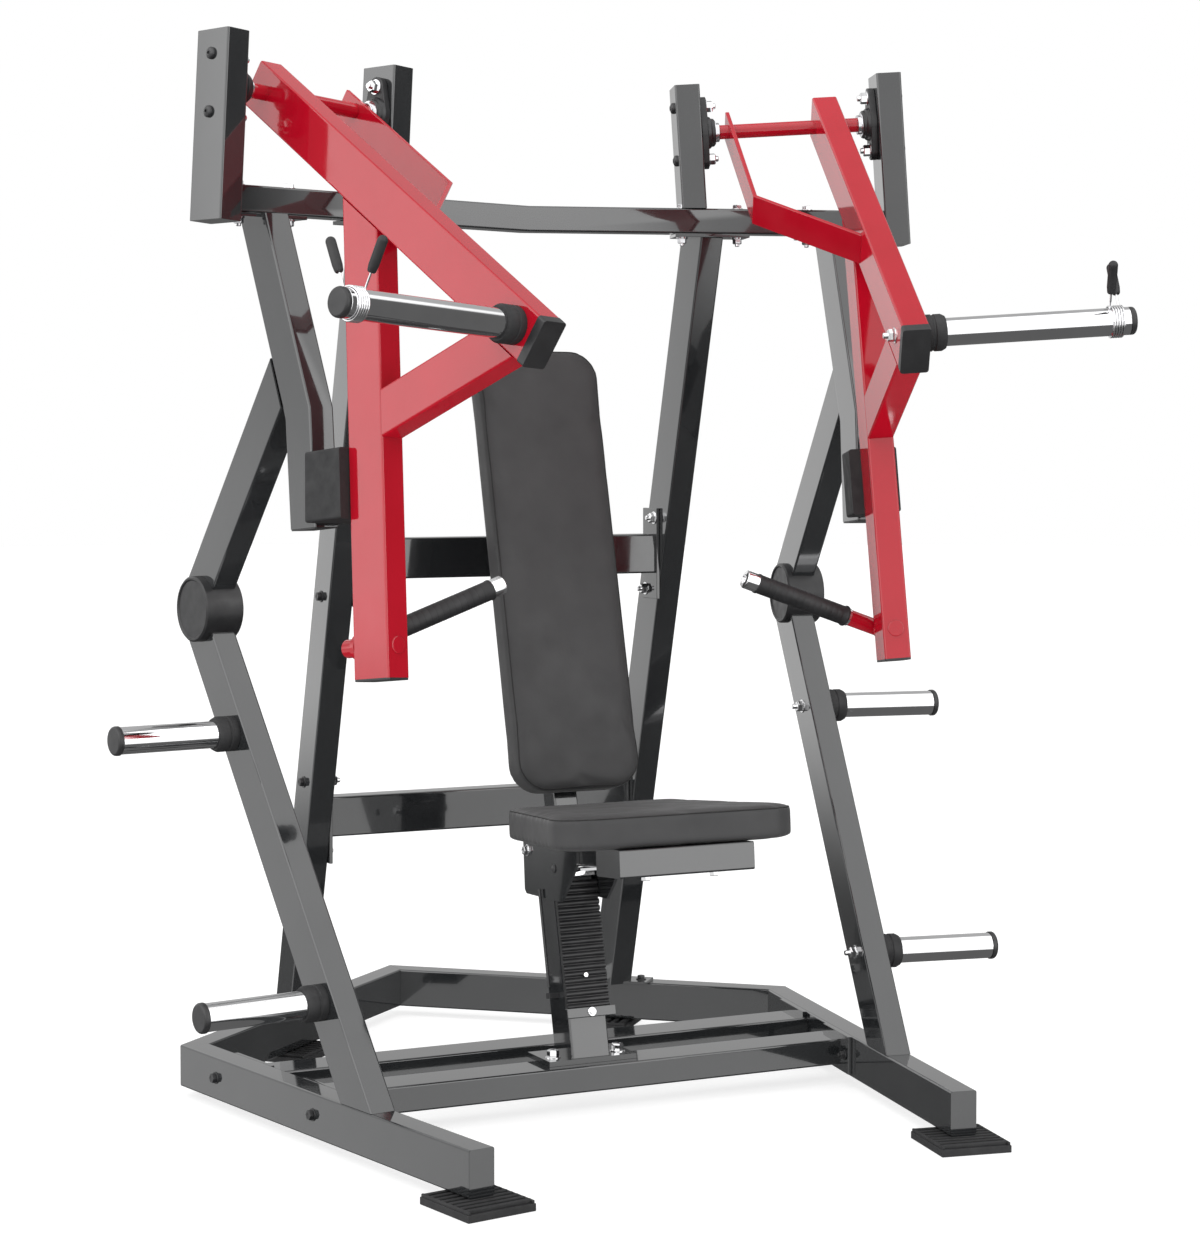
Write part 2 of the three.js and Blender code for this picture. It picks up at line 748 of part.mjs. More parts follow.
// A boss bolted to the back of the lever, with the handle tube welded to it.
function buildHandle(group, side) {
  const rear = leverPoint(bossV, side).addScaledVector(leverNormal(), -tubeDepth / 2 - gap);
  const bossEnd = rear.clone().addScaledVector(leverNormal(), -bossThickness);
  const root = bossEnd.clone().addScaledVector(leverNormal(), -handleRadius);
  const tip = point(handleTipF, handleTipK * side, handleTipV);
  const boss = rod(bossEnd, rear, bossRadius);
  const lug = rod(bossEnd.clone().addScaledVector(leverNormal(), -2 * handleRadius), rear, handleRadius + 1);
  const tube = rod(root, tip, handleRadius, handleRadius, 28);
  addMesh(group, `handle_${sideName(side)}`, join(boss, lug, tube), rubber);
}

function buildArm(side) {
  const group = armGroup(side);
  buildArmBeam(group, side);
  buildLever(group, side);
  buildBrace(group, side);
  buildLink(group, side);
  buildArmHorn(group, side);
  buildSpringClip(group, side);
  buildHandle(group, side);
  buildBearing(group, side, 'outer', postFace(outerPostCentre(), -1), -1);
  buildBearing(group, side, 'inner', postFace(innerPostCentre(), 1), 1);
  buildBumper(group, side);
}

// A two-bolt flanged bearing on the face of a post.
function buildBearing(group, side, name, face, facing) {
  const away = facing * side;
  const start = point(0, face * side + away * gap, 0);
  const plateEnd = start.clone().add(point(0, away * bearingPlate, 0));
  const hubEnd = start.clone().add(point(0, away * bearingHubLength, 0));
  const outline = new THREE.Shape();
  const ear = 19.5;
  const reach = bearingHeight / 2 - ear;
  outline.absarc(0, reach, ear, 0.15 * Math.PI, 0.85 * Math.PI);
  outline.absarc(0, 0, bearingWidth / 2, 0.9 * Math.PI, 1.1 * Math.PI);
  outline.absarc(0, -reach, ear, 1.15 * Math.PI, 1.85 * Math.PI);
  outline.absarc(0, 0, bearingWidth / 2, -0.1 * Math.PI, 0.1 * Math.PI);
  const plate = sweep(outline, [start, plateEnd], lateral, { segments: 8 });
  const hub = rod(start, hubEnd, bearingHubRadius + 2, bearingHubRadius - 4, 36);
  const bore = rod(point(0, (face - facing * 5) * side, 0), point(0, (face + facing * 60) * side, 0),
    shaftRadius + gap, shaftRadius + gap, 32);
  addMesh(group, `${name}_bearing_${sideName(side)}`, cut(join(plate, hub), bore), casting);
}

// A rubber block on the stop post, its front parallel to the back of the lever.
function buildBumper(group, side) {
  const centre = leverPoint(-bumperDrop, side).addScaledVector(leverNormal(), -tubeDepth / 2 - gap);
  group.updateWorldMatrix(true, false);
  const toGroup = group.matrixWorld.clone().invert();
  const [, bend, end] = stopPostPoints(side);
  const mid = bend.clone().lerp(end, 0.45);
  const postMiddle = mid.clone().applyMatrix4(toGroup);
  const centreY = (centre.y + postMiddle.y) / 2;
  const reach = 120;
  const back = leverNormal().negate();
  const from = point(centre.x, centreY, centre.z);
  const section = roundedRectangle(bumperWidth, bumperHeight, 5);
  const block = sweep(section, [from, from.clone().addScaledVector(back, reach)], point(0, 1, 0));
  const outward = mirrored(railOutward, side).transformDirection(toGroup);
  const postRun = end.clone().sub(bend).transformDirection(toGroup);
  const forward = postRun.clone().cross(outward).normalize();
  if (forward.x < 0) forward.negate();
  const slab = sweep(roundedRectangle(400, 600, 1), [
    postMiddle.clone().addScaledVector(forward, tubeDepth / 2 + gap),
    postMiddle.clone().addScaledVector(forward, -300),
  ], outward);
  addMesh(group, `stop_bumper_${sideName(side)}`, cut(block, slab), rubber);
}

// ---------- storage horns ----------

function buildStorageHorn(name, side, z) {
  const outward = mirrored(railOutward, side);
  const root = mirrored(legCentre(z), side).addScaledVector(outward, tubeWidth / 2 + gap);
  const tip = root.clone().addScaledVector(outward, storageReach);
  addMesh(machine, `${name}_${sideName(side)}`, turned(hornProfile(storageReach, capRadius), root, tip), chrome);
}

// ---------- seat ----------

const postLeanAxis = point(0, Math.sin(postLean * degrees), Math.cos(postLean * degrees));
const postFrontNormal = point(0, -Math.cos(postLean * degrees), Math.sin(postLean * degrees));
const seatPostLength = (seatPostTopZ - crossTop - basePlateThickness) / Math.cos(postLean * degrees);

// Point in the plane of symmetry, along the seat post and ahead of its front face.
function seatPostPoint(along, ahead, x = 0) {
  return point(x, seatPostFrontY, crossTop + basePlateThickness)
    .addScaledVector(postLeanAxis, along)
    .addScaledVector(postFrontNormal, ahead);
}

function buildSeatPost() {
  const centre = seatPostPoint(0, -seatPostSize / 2);
  const top = seatPostPoint(seatPostLength, -seatPostSize / 2);
  const floor = planeAt(point(0, 0, crossTop + basePlateThickness - gap), upward);
  const tube = sweep(tubeSection(seatPostSize, seatPostSize, wall), [centre, top], lateral, { startPlane: floor });
  const plate = bar(basePlateWidth, basePlateDepth, basePlateThickness - gap)
    .translate(0, seatPostFrontY + basePlateDepth / 2 - 8, crossTop + gap + (basePlateThickness - gap) / 2);
  addMesh(machine, 'seat_post', join(tube, plate), paint);
}

// A ribbed rack on the front of the post.
function buildRack() {
  const outline = new THREE.Shape();
  outline.moveTo(0, 0);
  outline.lineTo(0, rackBack);
  for (let i = 0; i < rackTeeth; i += 1) {
    outline.absarc((i + 0.5) * rackPitch, rackBack, rackTooth, Math.PI, 0, true);
    outline.lineTo((i + 1) * rackPitch, rackBack);
  }
  outline.lineTo(rackTeeth * rackPitch, 0);
  const strip = new THREE.ExtrudeGeometry(outline, { depth: rackWidth, bevelEnabled: false, curveSegments: 4 });
  const rack = addMesh(machine, 'seat_rack', strip, casting);
  const origin = seatPostPoint(rackStart, gap, -rackWidth / 2);
  rack.position.copy(origin);
  rack.quaternion.setFromRotationMatrix(
    new THREE.Matrix4().makeBasis(postLeanAxis, postFrontNormal, lateral));
}

function seatPadOutline(shrink) {
  const front = seatFrontHalf - shrink;
  const rear = seatRearHalf - shrink;
  const length = seatRearY - seatFrontY - 2 * shrink;
  const taper = Math.atan2(front - rear, length);
  const r = seatFrontCorner - shrink;
  const q = seatRearCorner - shrink;
  const frontX = front - r / Math.cos(taper) - r * Math.tan(taper);
  const rearX = rear - q / Math.cos(taper) + q * Math.tan(taper);
  const outline = new THREE.Shape();
  outline.absarc(frontX, r, r, -Math.PI / 2, taper);
  outline.absarc(rearX, length - q, q, taper, Math.PI / 2);
  outline.absarc(-rearX, length - q, q, Math.PI / 2, Math.PI - taper);
  outline.absarc(-frontX, r, r, Math.PI - taper, 1.5 * Math.PI);
  return outline;
}

function tiltedSeatPiece(name, geometry, finish, belowTop) {
  const mesh = addMesh(machine, name, geometry, finish);
  mesh.position.set(0, seatFrontY, seatTopFront - belowTop);
  mesh.rotation.x = -seatTilt * degrees;
  return mesh;
}

function buildSeatPad() {
  const pad = new THREE.ExtrudeGeometry(seatPadOutline(0),
    { depth: seatThickness, bevelEnabled: false, curveSegments: 8 });
  tiltedSeatPiece('seat_pad', pad, vinyl, seatThickness);
}

// Cross tube under the front of the seat, and the arm that runs back from it to the carriage.
function buildSeatBeam() {
  const height = -seatBeamHeight / 2 - gap;
  const middle = seatBeamSetBack + seatBeamDepth / 2;
  const cross = sweep(tubeSection(seatBeamDepth, seatBeamHeight, wall),
    [point(-seatBeamWidth / 2, middle, height), point(seatBeamWidth / 2, middle, height)], point(0, 1, 0));
  const armWidth = 2 * (carriageInner - gap);
  const arm = sweep(tubeSection(armWidth, seatBeamHeight, wall),
    [point(0, middle + seatBeamDepth / 2 - wall / 2, height), point(0, seatArmEnd, height)], lateral);
  tiltedSeatPiece('seat_beam', join(cross, arm), paint, seatThickness);
}

// The same point as seatPostPoint, measured from the seat's front lower edge in its tilted frame.
function inSeatFrame(at) {
  return at.clone().sub(point(0, seatFrontY, seatTopFront - seatThickness))
    .applyAxisAngle(lateral, seatTilt * degrees);
}

function alongPostAt(z) {
  return (z - crossTop - basePlateThickness) / postLeanAxis.z;
}

// Two cheeks that clasp the seat's arm and the post, with a roller behind the post between them.
function buildCarriage() {
  const outline = new THREE.Shape([
    new THREE.Vector2(gussetStart, -gap), new THREE.Vector2(gussetStart, -seatBeamHeight),
    new THREE.Vector2(seatArmEnd, -cheekDepth - 7), new THREE.Vector2(cheekRear - 8, -cheekDepth),
    new THREE.Vector2(cheekRear, -cheekDepth + 8), new THREE.Vector2(cheekRear, -gap),
  ]);
  const cheeks = [-1, 1].map((side) => {
    const cheek = new THREE.ExtrudeGeometry(outline, { depth: carriageWall, bevelEnabled: false });
    cheek.applyMatrix4(new THREE.Matrix4().makeBasis(point(0, 1, 0), upward, lateral));
    return cheek.translate(side * (carriageInner + carriageWall / 2) - carriageWall / 2, 0, 0);
  });
  const reach = carriageInner + 1;
  const behind = inSeatFrame(seatPostPoint(alongPostAt(rollerZ), -seatPostSize - rollerRadius - 1));
  const roller = rod(point(-reach, behind.y, behind.z), point(reach, behind.y, behind.z), rollerRadius);
  const bridge = bar(2 * reach, carriageWall, 40).translate(0, seatArmEnd + gap + carriageWall / 2, -25);
  tiltedSeatPiece('seat_carriage', join(...cheeks, roller, bridge), paint, seatThickness);
}

// A pawl on a cross pin, with a tongue that faces the rack and a release bar under the arm.
function buildLatch() {
  const width = 2 * (carriageInner - gap);
  const pin = rod(point(-width / 2, 0, 0), point(width / 2, 0, 0), latchPinRadius, latchPinRadius, 24);
  const tongue = bar(60, 18, 10).translate(0, 4, -12);
  const web = bar(60, 8, 14).translate(0, 0, -7);
  const release = bar(50, 62, 5).translate(0, -30, -10);
  const mesh = addMesh(machine, 'seat_latch', join(pin, web, tongue, release), chrome);
  mesh.position.copy(seatPostPoint(alongPostAt(latchZ), latchAhead));
  mesh.rotation.x = -postLean * degrees;
}

// ---------- back ----------

const padUp = point(0, Math.sin(padLean * degrees), Math.cos(padLean * degrees));
const padOut = point(0, -Math.cos(padLean * degrees), Math.sin(padLean * degrees));

function padPoint(along, ahead) {
  return point(0, padBottomY, padBottomZ).addScaledVector(padUp, along).addScaledVector(padOut, ahead);
}

function buildBackPad() {
  const outline = roundedRectangle(padWidth, padLength, padCorner);
  const pad = sweep(outline, [padPoint(padLength / 2, 0), padPoint(padLength / 2, -padThickness)], lateral,
    { segments: 8 });
  addMesh(machine, 'back_pad', pad, vinyl);
}

// Spine tube and board behind the pad, down to the seat post, with a strut to the upper rear cross tube.
function buildBackFrame() {
  const behind = -padThickness - gap;
  const board = sweep(roundedRectangle(padWidth - 70, padLength - 90, 30),
    [padPoint(padLength / 2, behind), padPoint(padLength / 2, behind - boardThickness)], lateral, { segments: 4 });
  const spineAt = behind - boardThickness - spineSize / 2 + 1;
  const spine = sweep(tubeSection(spineSize, spineSize, wall),
    [padPoint(0, spineAt), padPoint(padLength * 0.8, spineAt)], lateral,
    { startPlane: planeAt(seatPostPoint(seatPostLength + gap, 0), postLeanAxis) });
  const face = point(0, uprightCentre(upperCrossZ).y - rearCrossDepth / 2 - gap, upperCrossZ);
  const start = padPoint((upperCrossZ - padBottomZ) / padUp.z, spineAt - 4);
  const strut = sweep(tubeSection(spineSize, spineSize, wall), [start, face], lateral,
    { startPlane: planeAt(start, padOut), endPlane: planeAt(face, point(0, 1, 0)) });
  addMesh(machine, 'back_frame', join(board, spine, strut), paint);
}

// ---------- assembly ----------

buildBaseCross('front_cross_tube', frontCrossY);
buildBaseCross('middle_cross_tube', midCrossY);
buildTopBeam();
buildRearCross('upper_rear_cross', upperCrossZ);
buildRearCross('lower_rear_cross', lowerCrossZ);
[-1, 1].forEach((side) => {
  buildRail(side);
  buildRearBaseBeam(side);
  buildFeet(side);
  buildLowerLeg(side);
  buildHub(side);
  buildUpperLeg(side);
  buildStopPost(side);
  buildUpright(side);
  buildPosts(side);
  buildArm(side);
  buildStorageHorn('upper_storage_horn', side, storageUpperZ);
  buildStorageHorn('lower_storage_horn', side, storageLowerZ);
});
buildSeatPost();
buildRack();
buildSeatPad();
buildSeatBeam();
buildCarriage();
buildLatch();
buildBackPad();
buildBackFrame();

// The origin is at the centre of the footprint.
const extent = new THREE.Box3().setFromObject(machine, true);
machine.position.y = -(extent.min.y + extent.max.y) / 2;

export default machine;
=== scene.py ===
"""Looks of the plate-loaded chest press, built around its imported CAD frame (Blender 4.5, metres)."""

import json
import math

import bmesh
import bpy
from mathutils import Matrix, Vector
from mathutils.bvhtree import BVHTree


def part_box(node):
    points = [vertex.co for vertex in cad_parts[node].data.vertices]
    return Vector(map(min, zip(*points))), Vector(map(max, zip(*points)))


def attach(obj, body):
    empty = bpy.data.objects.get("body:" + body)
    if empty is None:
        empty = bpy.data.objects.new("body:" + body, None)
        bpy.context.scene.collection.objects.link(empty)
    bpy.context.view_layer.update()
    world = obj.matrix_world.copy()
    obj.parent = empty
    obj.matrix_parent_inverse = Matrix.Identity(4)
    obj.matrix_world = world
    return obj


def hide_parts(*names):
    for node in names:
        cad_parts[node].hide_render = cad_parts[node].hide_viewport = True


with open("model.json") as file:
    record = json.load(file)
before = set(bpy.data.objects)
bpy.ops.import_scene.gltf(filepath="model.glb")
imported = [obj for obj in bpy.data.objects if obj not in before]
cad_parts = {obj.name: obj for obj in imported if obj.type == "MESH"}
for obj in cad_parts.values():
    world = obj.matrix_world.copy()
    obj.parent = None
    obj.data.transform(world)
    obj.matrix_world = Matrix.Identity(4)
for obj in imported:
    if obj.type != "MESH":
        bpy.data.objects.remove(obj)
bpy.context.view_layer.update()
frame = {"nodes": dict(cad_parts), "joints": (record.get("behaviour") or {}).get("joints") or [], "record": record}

# ---------- driving values, in metres and degrees ----------

MM = 0.001
UP = Vector((0, 0, 1))
RIGHT = Vector((1, 0, 0))
TUBE_WIDTH = 50 * MM
TUBE_DEPTH = 88 * MM
RAIL_YAW = math.radians(10)
POST_LEAN = math.radians(13.4)
SEAT_TILT = math.radians(4.5)
PAD_LEAN = math.radians(14)
BEAM_ANGLE = math.radians(33.2)
LEVER_ANGLE = math.radians(6)
TOP_BEAM_SLOPE = math.tan(math.radians(16.4))
PIVOT_Y = -85.2 * MM          # pivot's place in the frame the CAD sizes are stated in
ARM_CENTRE = -98 * MM
BEAM_START = -42 * MM
BEAM_END = 858 * MM
HORN_ALONG = 805 * MM
HORN_TIP = 311 * MM
HORN_RADIUS = 25 * MM
COLLAR_RADIUS = 33 * MM
COLLAR_LENGTH = 38 * MM
CAP_LENGTH = 12 * MM
STORAGE_REACH = 242 * MM
STORAGE_HEIGHTS = {"upper_storage_horn": 722 * MM, "lower_storage_horn": 269 * MM}
STAND = 0.3 * MM              # clearance that keeps a piece off the face it sits on

joints = {j["name"]: j for j in frame["joints"]}
nodes = frame["nodes"]
SHIFT_Y = joints["right_arm_pivot"]["pos_m"][1] - PIVOT_Y


def at(x, y, z, side=1):
    """A point given in millimetres in the frame the CAD sizes are stated in, mirrored for the left side."""
    return Vector((side * x * MM, y * MM + SHIFT_Y, z * MM))


def side_name(side):
    return "right" if side > 0 else "left"


def mirrored(vector, side):
    return Vector((vector.x * side, vector.y, vector.z))


def basis(origin, x, y):
    """A placing matrix with the given x and y directions."""
    x = x.normalized()
    y = (y - x * y.dot(x)).normalized()
    z = x.cross(y)
    turn = Matrix((x, y, z)).transposed().to_4x4()
    return Matrix.Translation(origin) @ turn


class ArmFrame:
    """Axes of one arm: k outward along its shaft, f forward and v up in its swing plane."""

    def __init__(self, side):
        joint = joints[f"{side_name(side)}_arm_pivot"]
        self.side = side
        self.origin = Vector(joint["pos_m"])
        self.k = Vector(joint["axis"]) * -side
        self.f = (self.k.cross(UP) * side).normalized()
        self.v = self.f.cross(self.k) * side
        cos, sin = math.cos(BEAM_ANGLE), math.sin(BEAM_ANGLE)
        self.along = self.f * cos - self.v * sin
        self.above = self.f * sin + self.v * cos
        cos, sin = math.cos(LEVER_ANGLE), math.sin(LEVER_ANGLE)
        self.lever_up = -self.f * sin + self.v * cos
        self.lever_front = self.f * cos + self.v * sin

    def point(self, k, f, v):
        return self.origin + self.k * k + self.f * f + self.v * v

    def beam(self, along, above, k):
        return self.origin + self.along * along + self.above * above + self.k * k

    def lever(self, v, ahead, k=ARM_CENTRE):
        """A point by its height on the lever's centre line and its distance ahead of it."""
        f = 325 * MM + (-699 * MM - v) * math.tan(LEVER_ANGLE)
        return self.point(k, f, v) + self.lever_front * ahead


arms = {side: ArmFrame(side) for side in (-1, 1)}
rail_forward = Vector((-math.sin(RAIL_YAW), -math.cos(RAIL_YAW), 0))
rail_outward = Vector((math.cos(RAIL_YAW), -math.sin(RAIL_YAW), 0))
post_up = Vector((0, math.sin(POST_LEAN), math.cos(POST_LEAN)))
post_front = Vector((0, -math.cos(POST_LEAN), math.sin(POST_LEAN)))

# ---------- materials ----------


def node_material(name):
    material = bpy.data.materials.new(name)
    material.use_nodes = True
    tree = material.node_tree
    return material, tree, tree.nodes["Principled BSDF"]


def noise(tree, scale, detail=3, rough=0.5):
    where = tree.nodes.get("where") or tree.nodes.new("ShaderNodeTexCoord")
    where.name = "where"
    texture = tree.nodes.new("ShaderNodeTexNoise")
    texture.inputs["Scale"].default_value = scale
    texture.inputs["Detail"].default_value = detail
    texture.inputs["Roughness"].default_value = rough
    tree.links.new(where.outputs["Object"], texture.inputs["Vector"])
    return texture.outputs["Fac"]


def spread(tree, value, low, high, from_low=0.3, from_high=0.7):
    """Maps a texture's value to the range low to high."""
    remap = tree.nodes.new("ShaderNodeMapRange")
    limits = (("From Min", from_low), ("From Max", from_high), ("To Min", low), ("To Max", high))
    for socket, number in limits:
        remap.inputs[socket].default_value = number
    tree.links.new(value, remap.inputs["Value"])
    return remap.outputs["Result"]


def mottle(tree, shader, value, dark, light):
    ramp = tree.nodes.new("ShaderNodeValToRGB")
    ramp.color_ramp.elements[0].position = 0.35
    ramp.color_ramp.elements[1].position = 0.65
    ramp.color_ramp.elements[0].color = (*dark, 1)
    ramp.color_ramp.elements[1].color = (*light, 1)
    tree.links.new(value, ramp.inputs["Fac"])
    tree.links.new(ramp.outputs["Color"], shader.inputs["Base Color"])


def bump(tree, shader, value, distance, strength=0.5):
    relief = tree.nodes.new("ShaderNodeBump")
    relief.inputs["Distance"].default_value = distance
    relief.inputs["Strength"].default_value = strength
    tree.links.new(value, relief.inputs["Height"])
    previous = shader.inputs["Normal"].links
    if previous:
        tree.links.new(previous[0].from_socket, relief.inputs["Normal"])
    tree.links.new(relief.outputs["Normal"], shader.inputs["Normal"])


def gloss_paint(name, dark, light, ior, coat):
    """Sprayed paint under a clear coat, with a faint orange peel and handling marks."""
    material, tree, shader = node_material(name)
    shader.inputs["IOR"].default_value = ior
    shader.inputs["Coat Weight"].default_value = coat
    shader.inputs["Coat Roughness"].default_value = 0.03
    shader.inputs["Coat IOR"].default_value = 1.5
    mottle(tree, shader, noise(tree, 9, 4), dark, light)
    marks = spread(tree, noise(tree, 26, 5, 0.6), 0.05, 0.12)
    tree.links.new(marks, shader.inputs["Roughness"])
    bump(tree, shader, noise(tree, 120, 2), 0.00002, 0.15)
    return material


def polished_metal(name, colour, rough_low, rough_high):
    material, tree, shader = node_material(name)
    shader.inputs["Metallic"].default_value = 1
    mottle(tree, shader, noise(tree, 14, 4), tuple(0.93 * c for c in colour), colour)
    tree.links.new(spread(tree, noise(tree, 60, 6, 0.65), rough_low, rough_high),
                   shader.inputs["Roughness"])
    bump(tree, shader, noise(tree, 60, 3), 0.00002, 0.1)
    return material


def moulded(name, dark, light, rough_low, rough_high, grain_scale, grain_depth, specular=0.5):
    """Rubber or plastic with a moulded grain and a faint random mottle in its tone."""
    material, tree, shader = node_material(name)
    shader.inputs["Specular IOR Level"].default_value = specular
    mottle(tree, shader, noise(tree, 30, 6, 0.6), dark, light)
    tree.links.new(spread(tree, noise(tree, 45, 4), rough_low, rough_high), shader.inputs["Roughness"])
    bump(tree, shader, noise(tree, grain_scale, 2), grain_depth, 0.6)
    bump(tree, shader, noise(tree, grain_scale / 8, 3), grain_depth * 2, 0.2)
    return material


def vinyl(name, dark, light):
    """Upholstery vinyl: a pebbled grain of small cells, with the pull of the cover over foam."""
    material, tree, shader = node_material(name)
    shader.inputs["Specular IOR Level"].default_value = 0.3
    shader.inputs["Sheen Weight"].default_value = 0.06
    shader.inputs["Sheen Roughness"].default_value = 0.5
    mottle(tree, shader, noise(tree, 6, 5, 0.55), dark, light)
    tree.links.new(spread(tree, noise(tree, 20, 4), 0.42, 0.56), shader.inputs["Roughness"])
    where = tree.nodes["where"]
    cells = tree.nodes.new("ShaderNodeTexVoronoi")
    cells.feature = "SMOOTH_F1"
    cells.inputs["Scale"].default_value = 620
    cells.inputs["Smoothness"].default_value = 0.6
    tree.links.new(where.outputs["Object"], cells.inputs["Vector"])
    bump(tree, shader, cells.outputs["Distance"], 0.00025, 0.35)
    bump(tree, shader, noise(tree, 11, 3), 0.0012, 0.25)
    return material


FRAME_PAINT = gloss_paint("frame_paint", (0.014, 0.015, 0.016), (0.018, 0.019, 0.02), 1.55, 1.0)
ARM_PAINT = gloss_paint("arm_paint", (0.40, 0.003, 0.013), (0.43, 0.004, 0.016), 1.5, 0.3)
CHROME = polished_metal("chrome", (0.86, 0.86, 0.87), 0.04, 0.10)
STEEL = polished_metal("zinc_steel", (0.72, 0.72, 0.74), 0.14, 0.26)
RUBBER = moulded("rubber", (0.012, 0.012, 0.013), (0.02, 0.02, 0.021), 0.6, 0.78, 700, 0.00008)
GRIP = moulded("grip_rubber", (0.01, 0.01, 0.011), (0.016, 0.016, 0.017), 0.45, 0.62, 380, 0.00018)
PLASTIC = moulded("cap_plastic", (0.016, 0.016, 0.017), (0.022, 0.022, 0.023), 0.32, 0.45, 520, 0.00006)
CASTING = moulded("satin_casting", (0.010, 0.010, 0.011), (0.018, 0.018, 0.019), 0.3, 0.46, 260, 0.0001)
BLACK_BOLT = moulded("black_oxide", (0.012, 0.012, 0.013), (0.022, 0.022, 0.024), 0.25, 0.4,
                     600, 0.00004, 0.6)
VINYL = vinyl("upholstery_vinyl", (0.038, 0.038, 0.039), (0.048, 0.048, 0.049))
# Seam cord colour, far darker than the vinyl: painted shade of the dark line along the cover's edge, on a real
# seam cord.
PAINTED_SHADE_SEAM = moulded("seam_piping_painted_shade", (0.006, 0.006, 0.006), (0.009, 0.009, 0.009), 0.6, 0.75, 500, 0.00004)

SLOT_MATERIALS = {
    "frame_paint": FRAME_PAINT, "arm_paint": ARM_PAINT, "chrome": CHROME, "rubber": RUBBER,
    "grip_rubber": GRIP, "casting": CASTING, "upholstery": VINYL,
}

# ---------- mesh helpers ----------


class Piece:
    """One visible mesh made of simple closed shapes, riding on one body."""

    def __init__(self, name, body, material, slot, replaces=(), sharp=40, bevel=0.0):
        self.name, self.body, self.material, self.slot = name, body, material, slot
        self.replaces, self.sharp, self.bevel = replaces, sharp, bevel
        self.mesh = bmesh.new()

    def add(self, points, faces, place=Matrix.Identity(4)):
        verts = [self.mesh.verts.new(place @ Vector(p)) for p in points]
        for face in faces:
            self.mesh.faces.new([verts[i] for i in face])
        return self

    def lathe(self, profile, origin, axis, sides=48, start=0.0):
        """Turned shape from (radius, height) pairs, ending on the axis or closed as a ring."""
        turn = axis.to_track_quat("Z", "Y").to_matrix().to_4x4()
        place = Matrix.Translation(origin) @ turn
        rings, points = [], []
        for radius, height in profile:
            count = 1 if radius < 1e-7 else sides
            rings.append(range(len(points), len(points) + count))
            for i in range(count):
                angle = start + 2 * math.pi * i / sides
                points.append((radius * math.cos(angle), radius * math.sin(angle), height))
        closed = profile[0] == profile[-1]
        if closed:
            points = points[:-len(rings[-1])]
            rings[-1] = rings[0]
        faces = []
        for low, high in zip(rings, rings[1:]):
            for i in range(sides):
                j = (i + 1) % sides
                corners = [low[i % len(low)], low[j % len(low)], high[j % len(high)], high[i % len(high)]]
                corners = list(dict.fromkeys(corners))
                if len(corners) > 2:
                    faces.append(corners)
        return self.add(points, faces, place)

    def prism(self, outline, thickness, place):
        """An outline in the placing matrix's x-y plane, raised along its z."""
        n = len(outline)
        points = [(x, y, 0) for x, y in outline] + [(x, y, thickness) for x, y in outline]
        faces = [list(reversed(range(n))), list(range(n, 2 * n))]
        faces += [[i, (i + 1) % n, (i + 1) % n + n, i + n] for i in range(n)]
        return self.add(points, faces, place)

    def block(self, size, place):
        x, y = size[0] / 2, size[1] / 2
        return self.prism([(-x, -y), (x, -y), (x, y), (-x, y)], size[2], place)

    def tube(self, path, radius, sides=12, closed=False):
        """A round wire or cord along a path of points, with flat ends."""
        count = len(path)
        points, normal = [], None
        for i, here in enumerate(path):
            before = path[i - 1] if i or closed else here
            after = path[(i + 1) % count] if i < count - 1 or closed else here
            tangent = (after - before).normalized()
            if normal is None:
                normal = tangent.orthogonal().normalized()
            normal = (normal - tangent * normal.dot(tangent)).normalized()
            other = tangent.cross(normal)
            for j in range(sides):
                angle = 2 * math.pi * j / sides
                points.append(here + (normal * math.cos(angle) + other * math.sin(angle)) * radius)
        faces = []
        for i in range(count if closed else count - 1):
            low, high = i * sides, (i + 1) % count * sides
            faces += [[low + j, low + (j + 1) % sides, high + (j + 1) % sides, high + j]
                      for j in range(sides)]
        if not closed:
            faces += [list(reversed(range(sides))), list(range((count - 1) * sides, count * sides))]
        return self.add(points, faces)

    def done(self):
        bmesh.ops.recalc_face_normals(self.mesh, faces=self.mesh.faces)
        data = bpy.data.meshes.new(self.name)
        self.mesh.to_mesh(data)
        self.mesh.free()
        obj = bpy.data.objects.new(self.name, data)
        bpy.context.scene.collection.objects.link(obj)
        finish_mesh(obj, self.sharp, self.bevel)
        data.materials.append(self.material)
        if self.replaces:
            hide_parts(*self.replaces)
        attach(obj, self.body)
        return obj


def finish_mesh(obj, sharp, bevel):
    obj.data.shade_smooth()
    if bevel:
        round_over = obj.modifiers.new("edges", "BEVEL")
        round_over.width = bevel
        round_over.segments = 2
        round_over.limit_method = "ANGLE"
        round_over.angle_limit = math.radians(30)
        round_over.harden_normals = False
    else:
        split = obj.modifiers.new("creases", "EDGE_SPLIT")
        split.split_angle = math.radians(sharp)
    weigh = obj.modifiers.new("flat_faces", "WEIGHTED_NORMAL")
    weigh.keep_sharp = True


def dress_cad_node(name):
    """A carried-over CAD node: welded and shaded smoothly round its corners, in its slot's material."""
    obj = nodes[name]
    slot = next(s["material_slot"] for s in frame["record"]["subparts"] if s["node"] == name)
    obj.data.materials.clear()
    obj.data.materials.append(SLOT_MATERIALS[slot])
    obj.data.normals_split_custom_set([(0, 0, 0)] * len(obj.data.loops))
    weld = obj.modifiers.new("weld", "WELD")
    weld.merge_threshold = 1e-5
    finish_mesh(obj, 38, 0)


# ---------- fasteners ----------


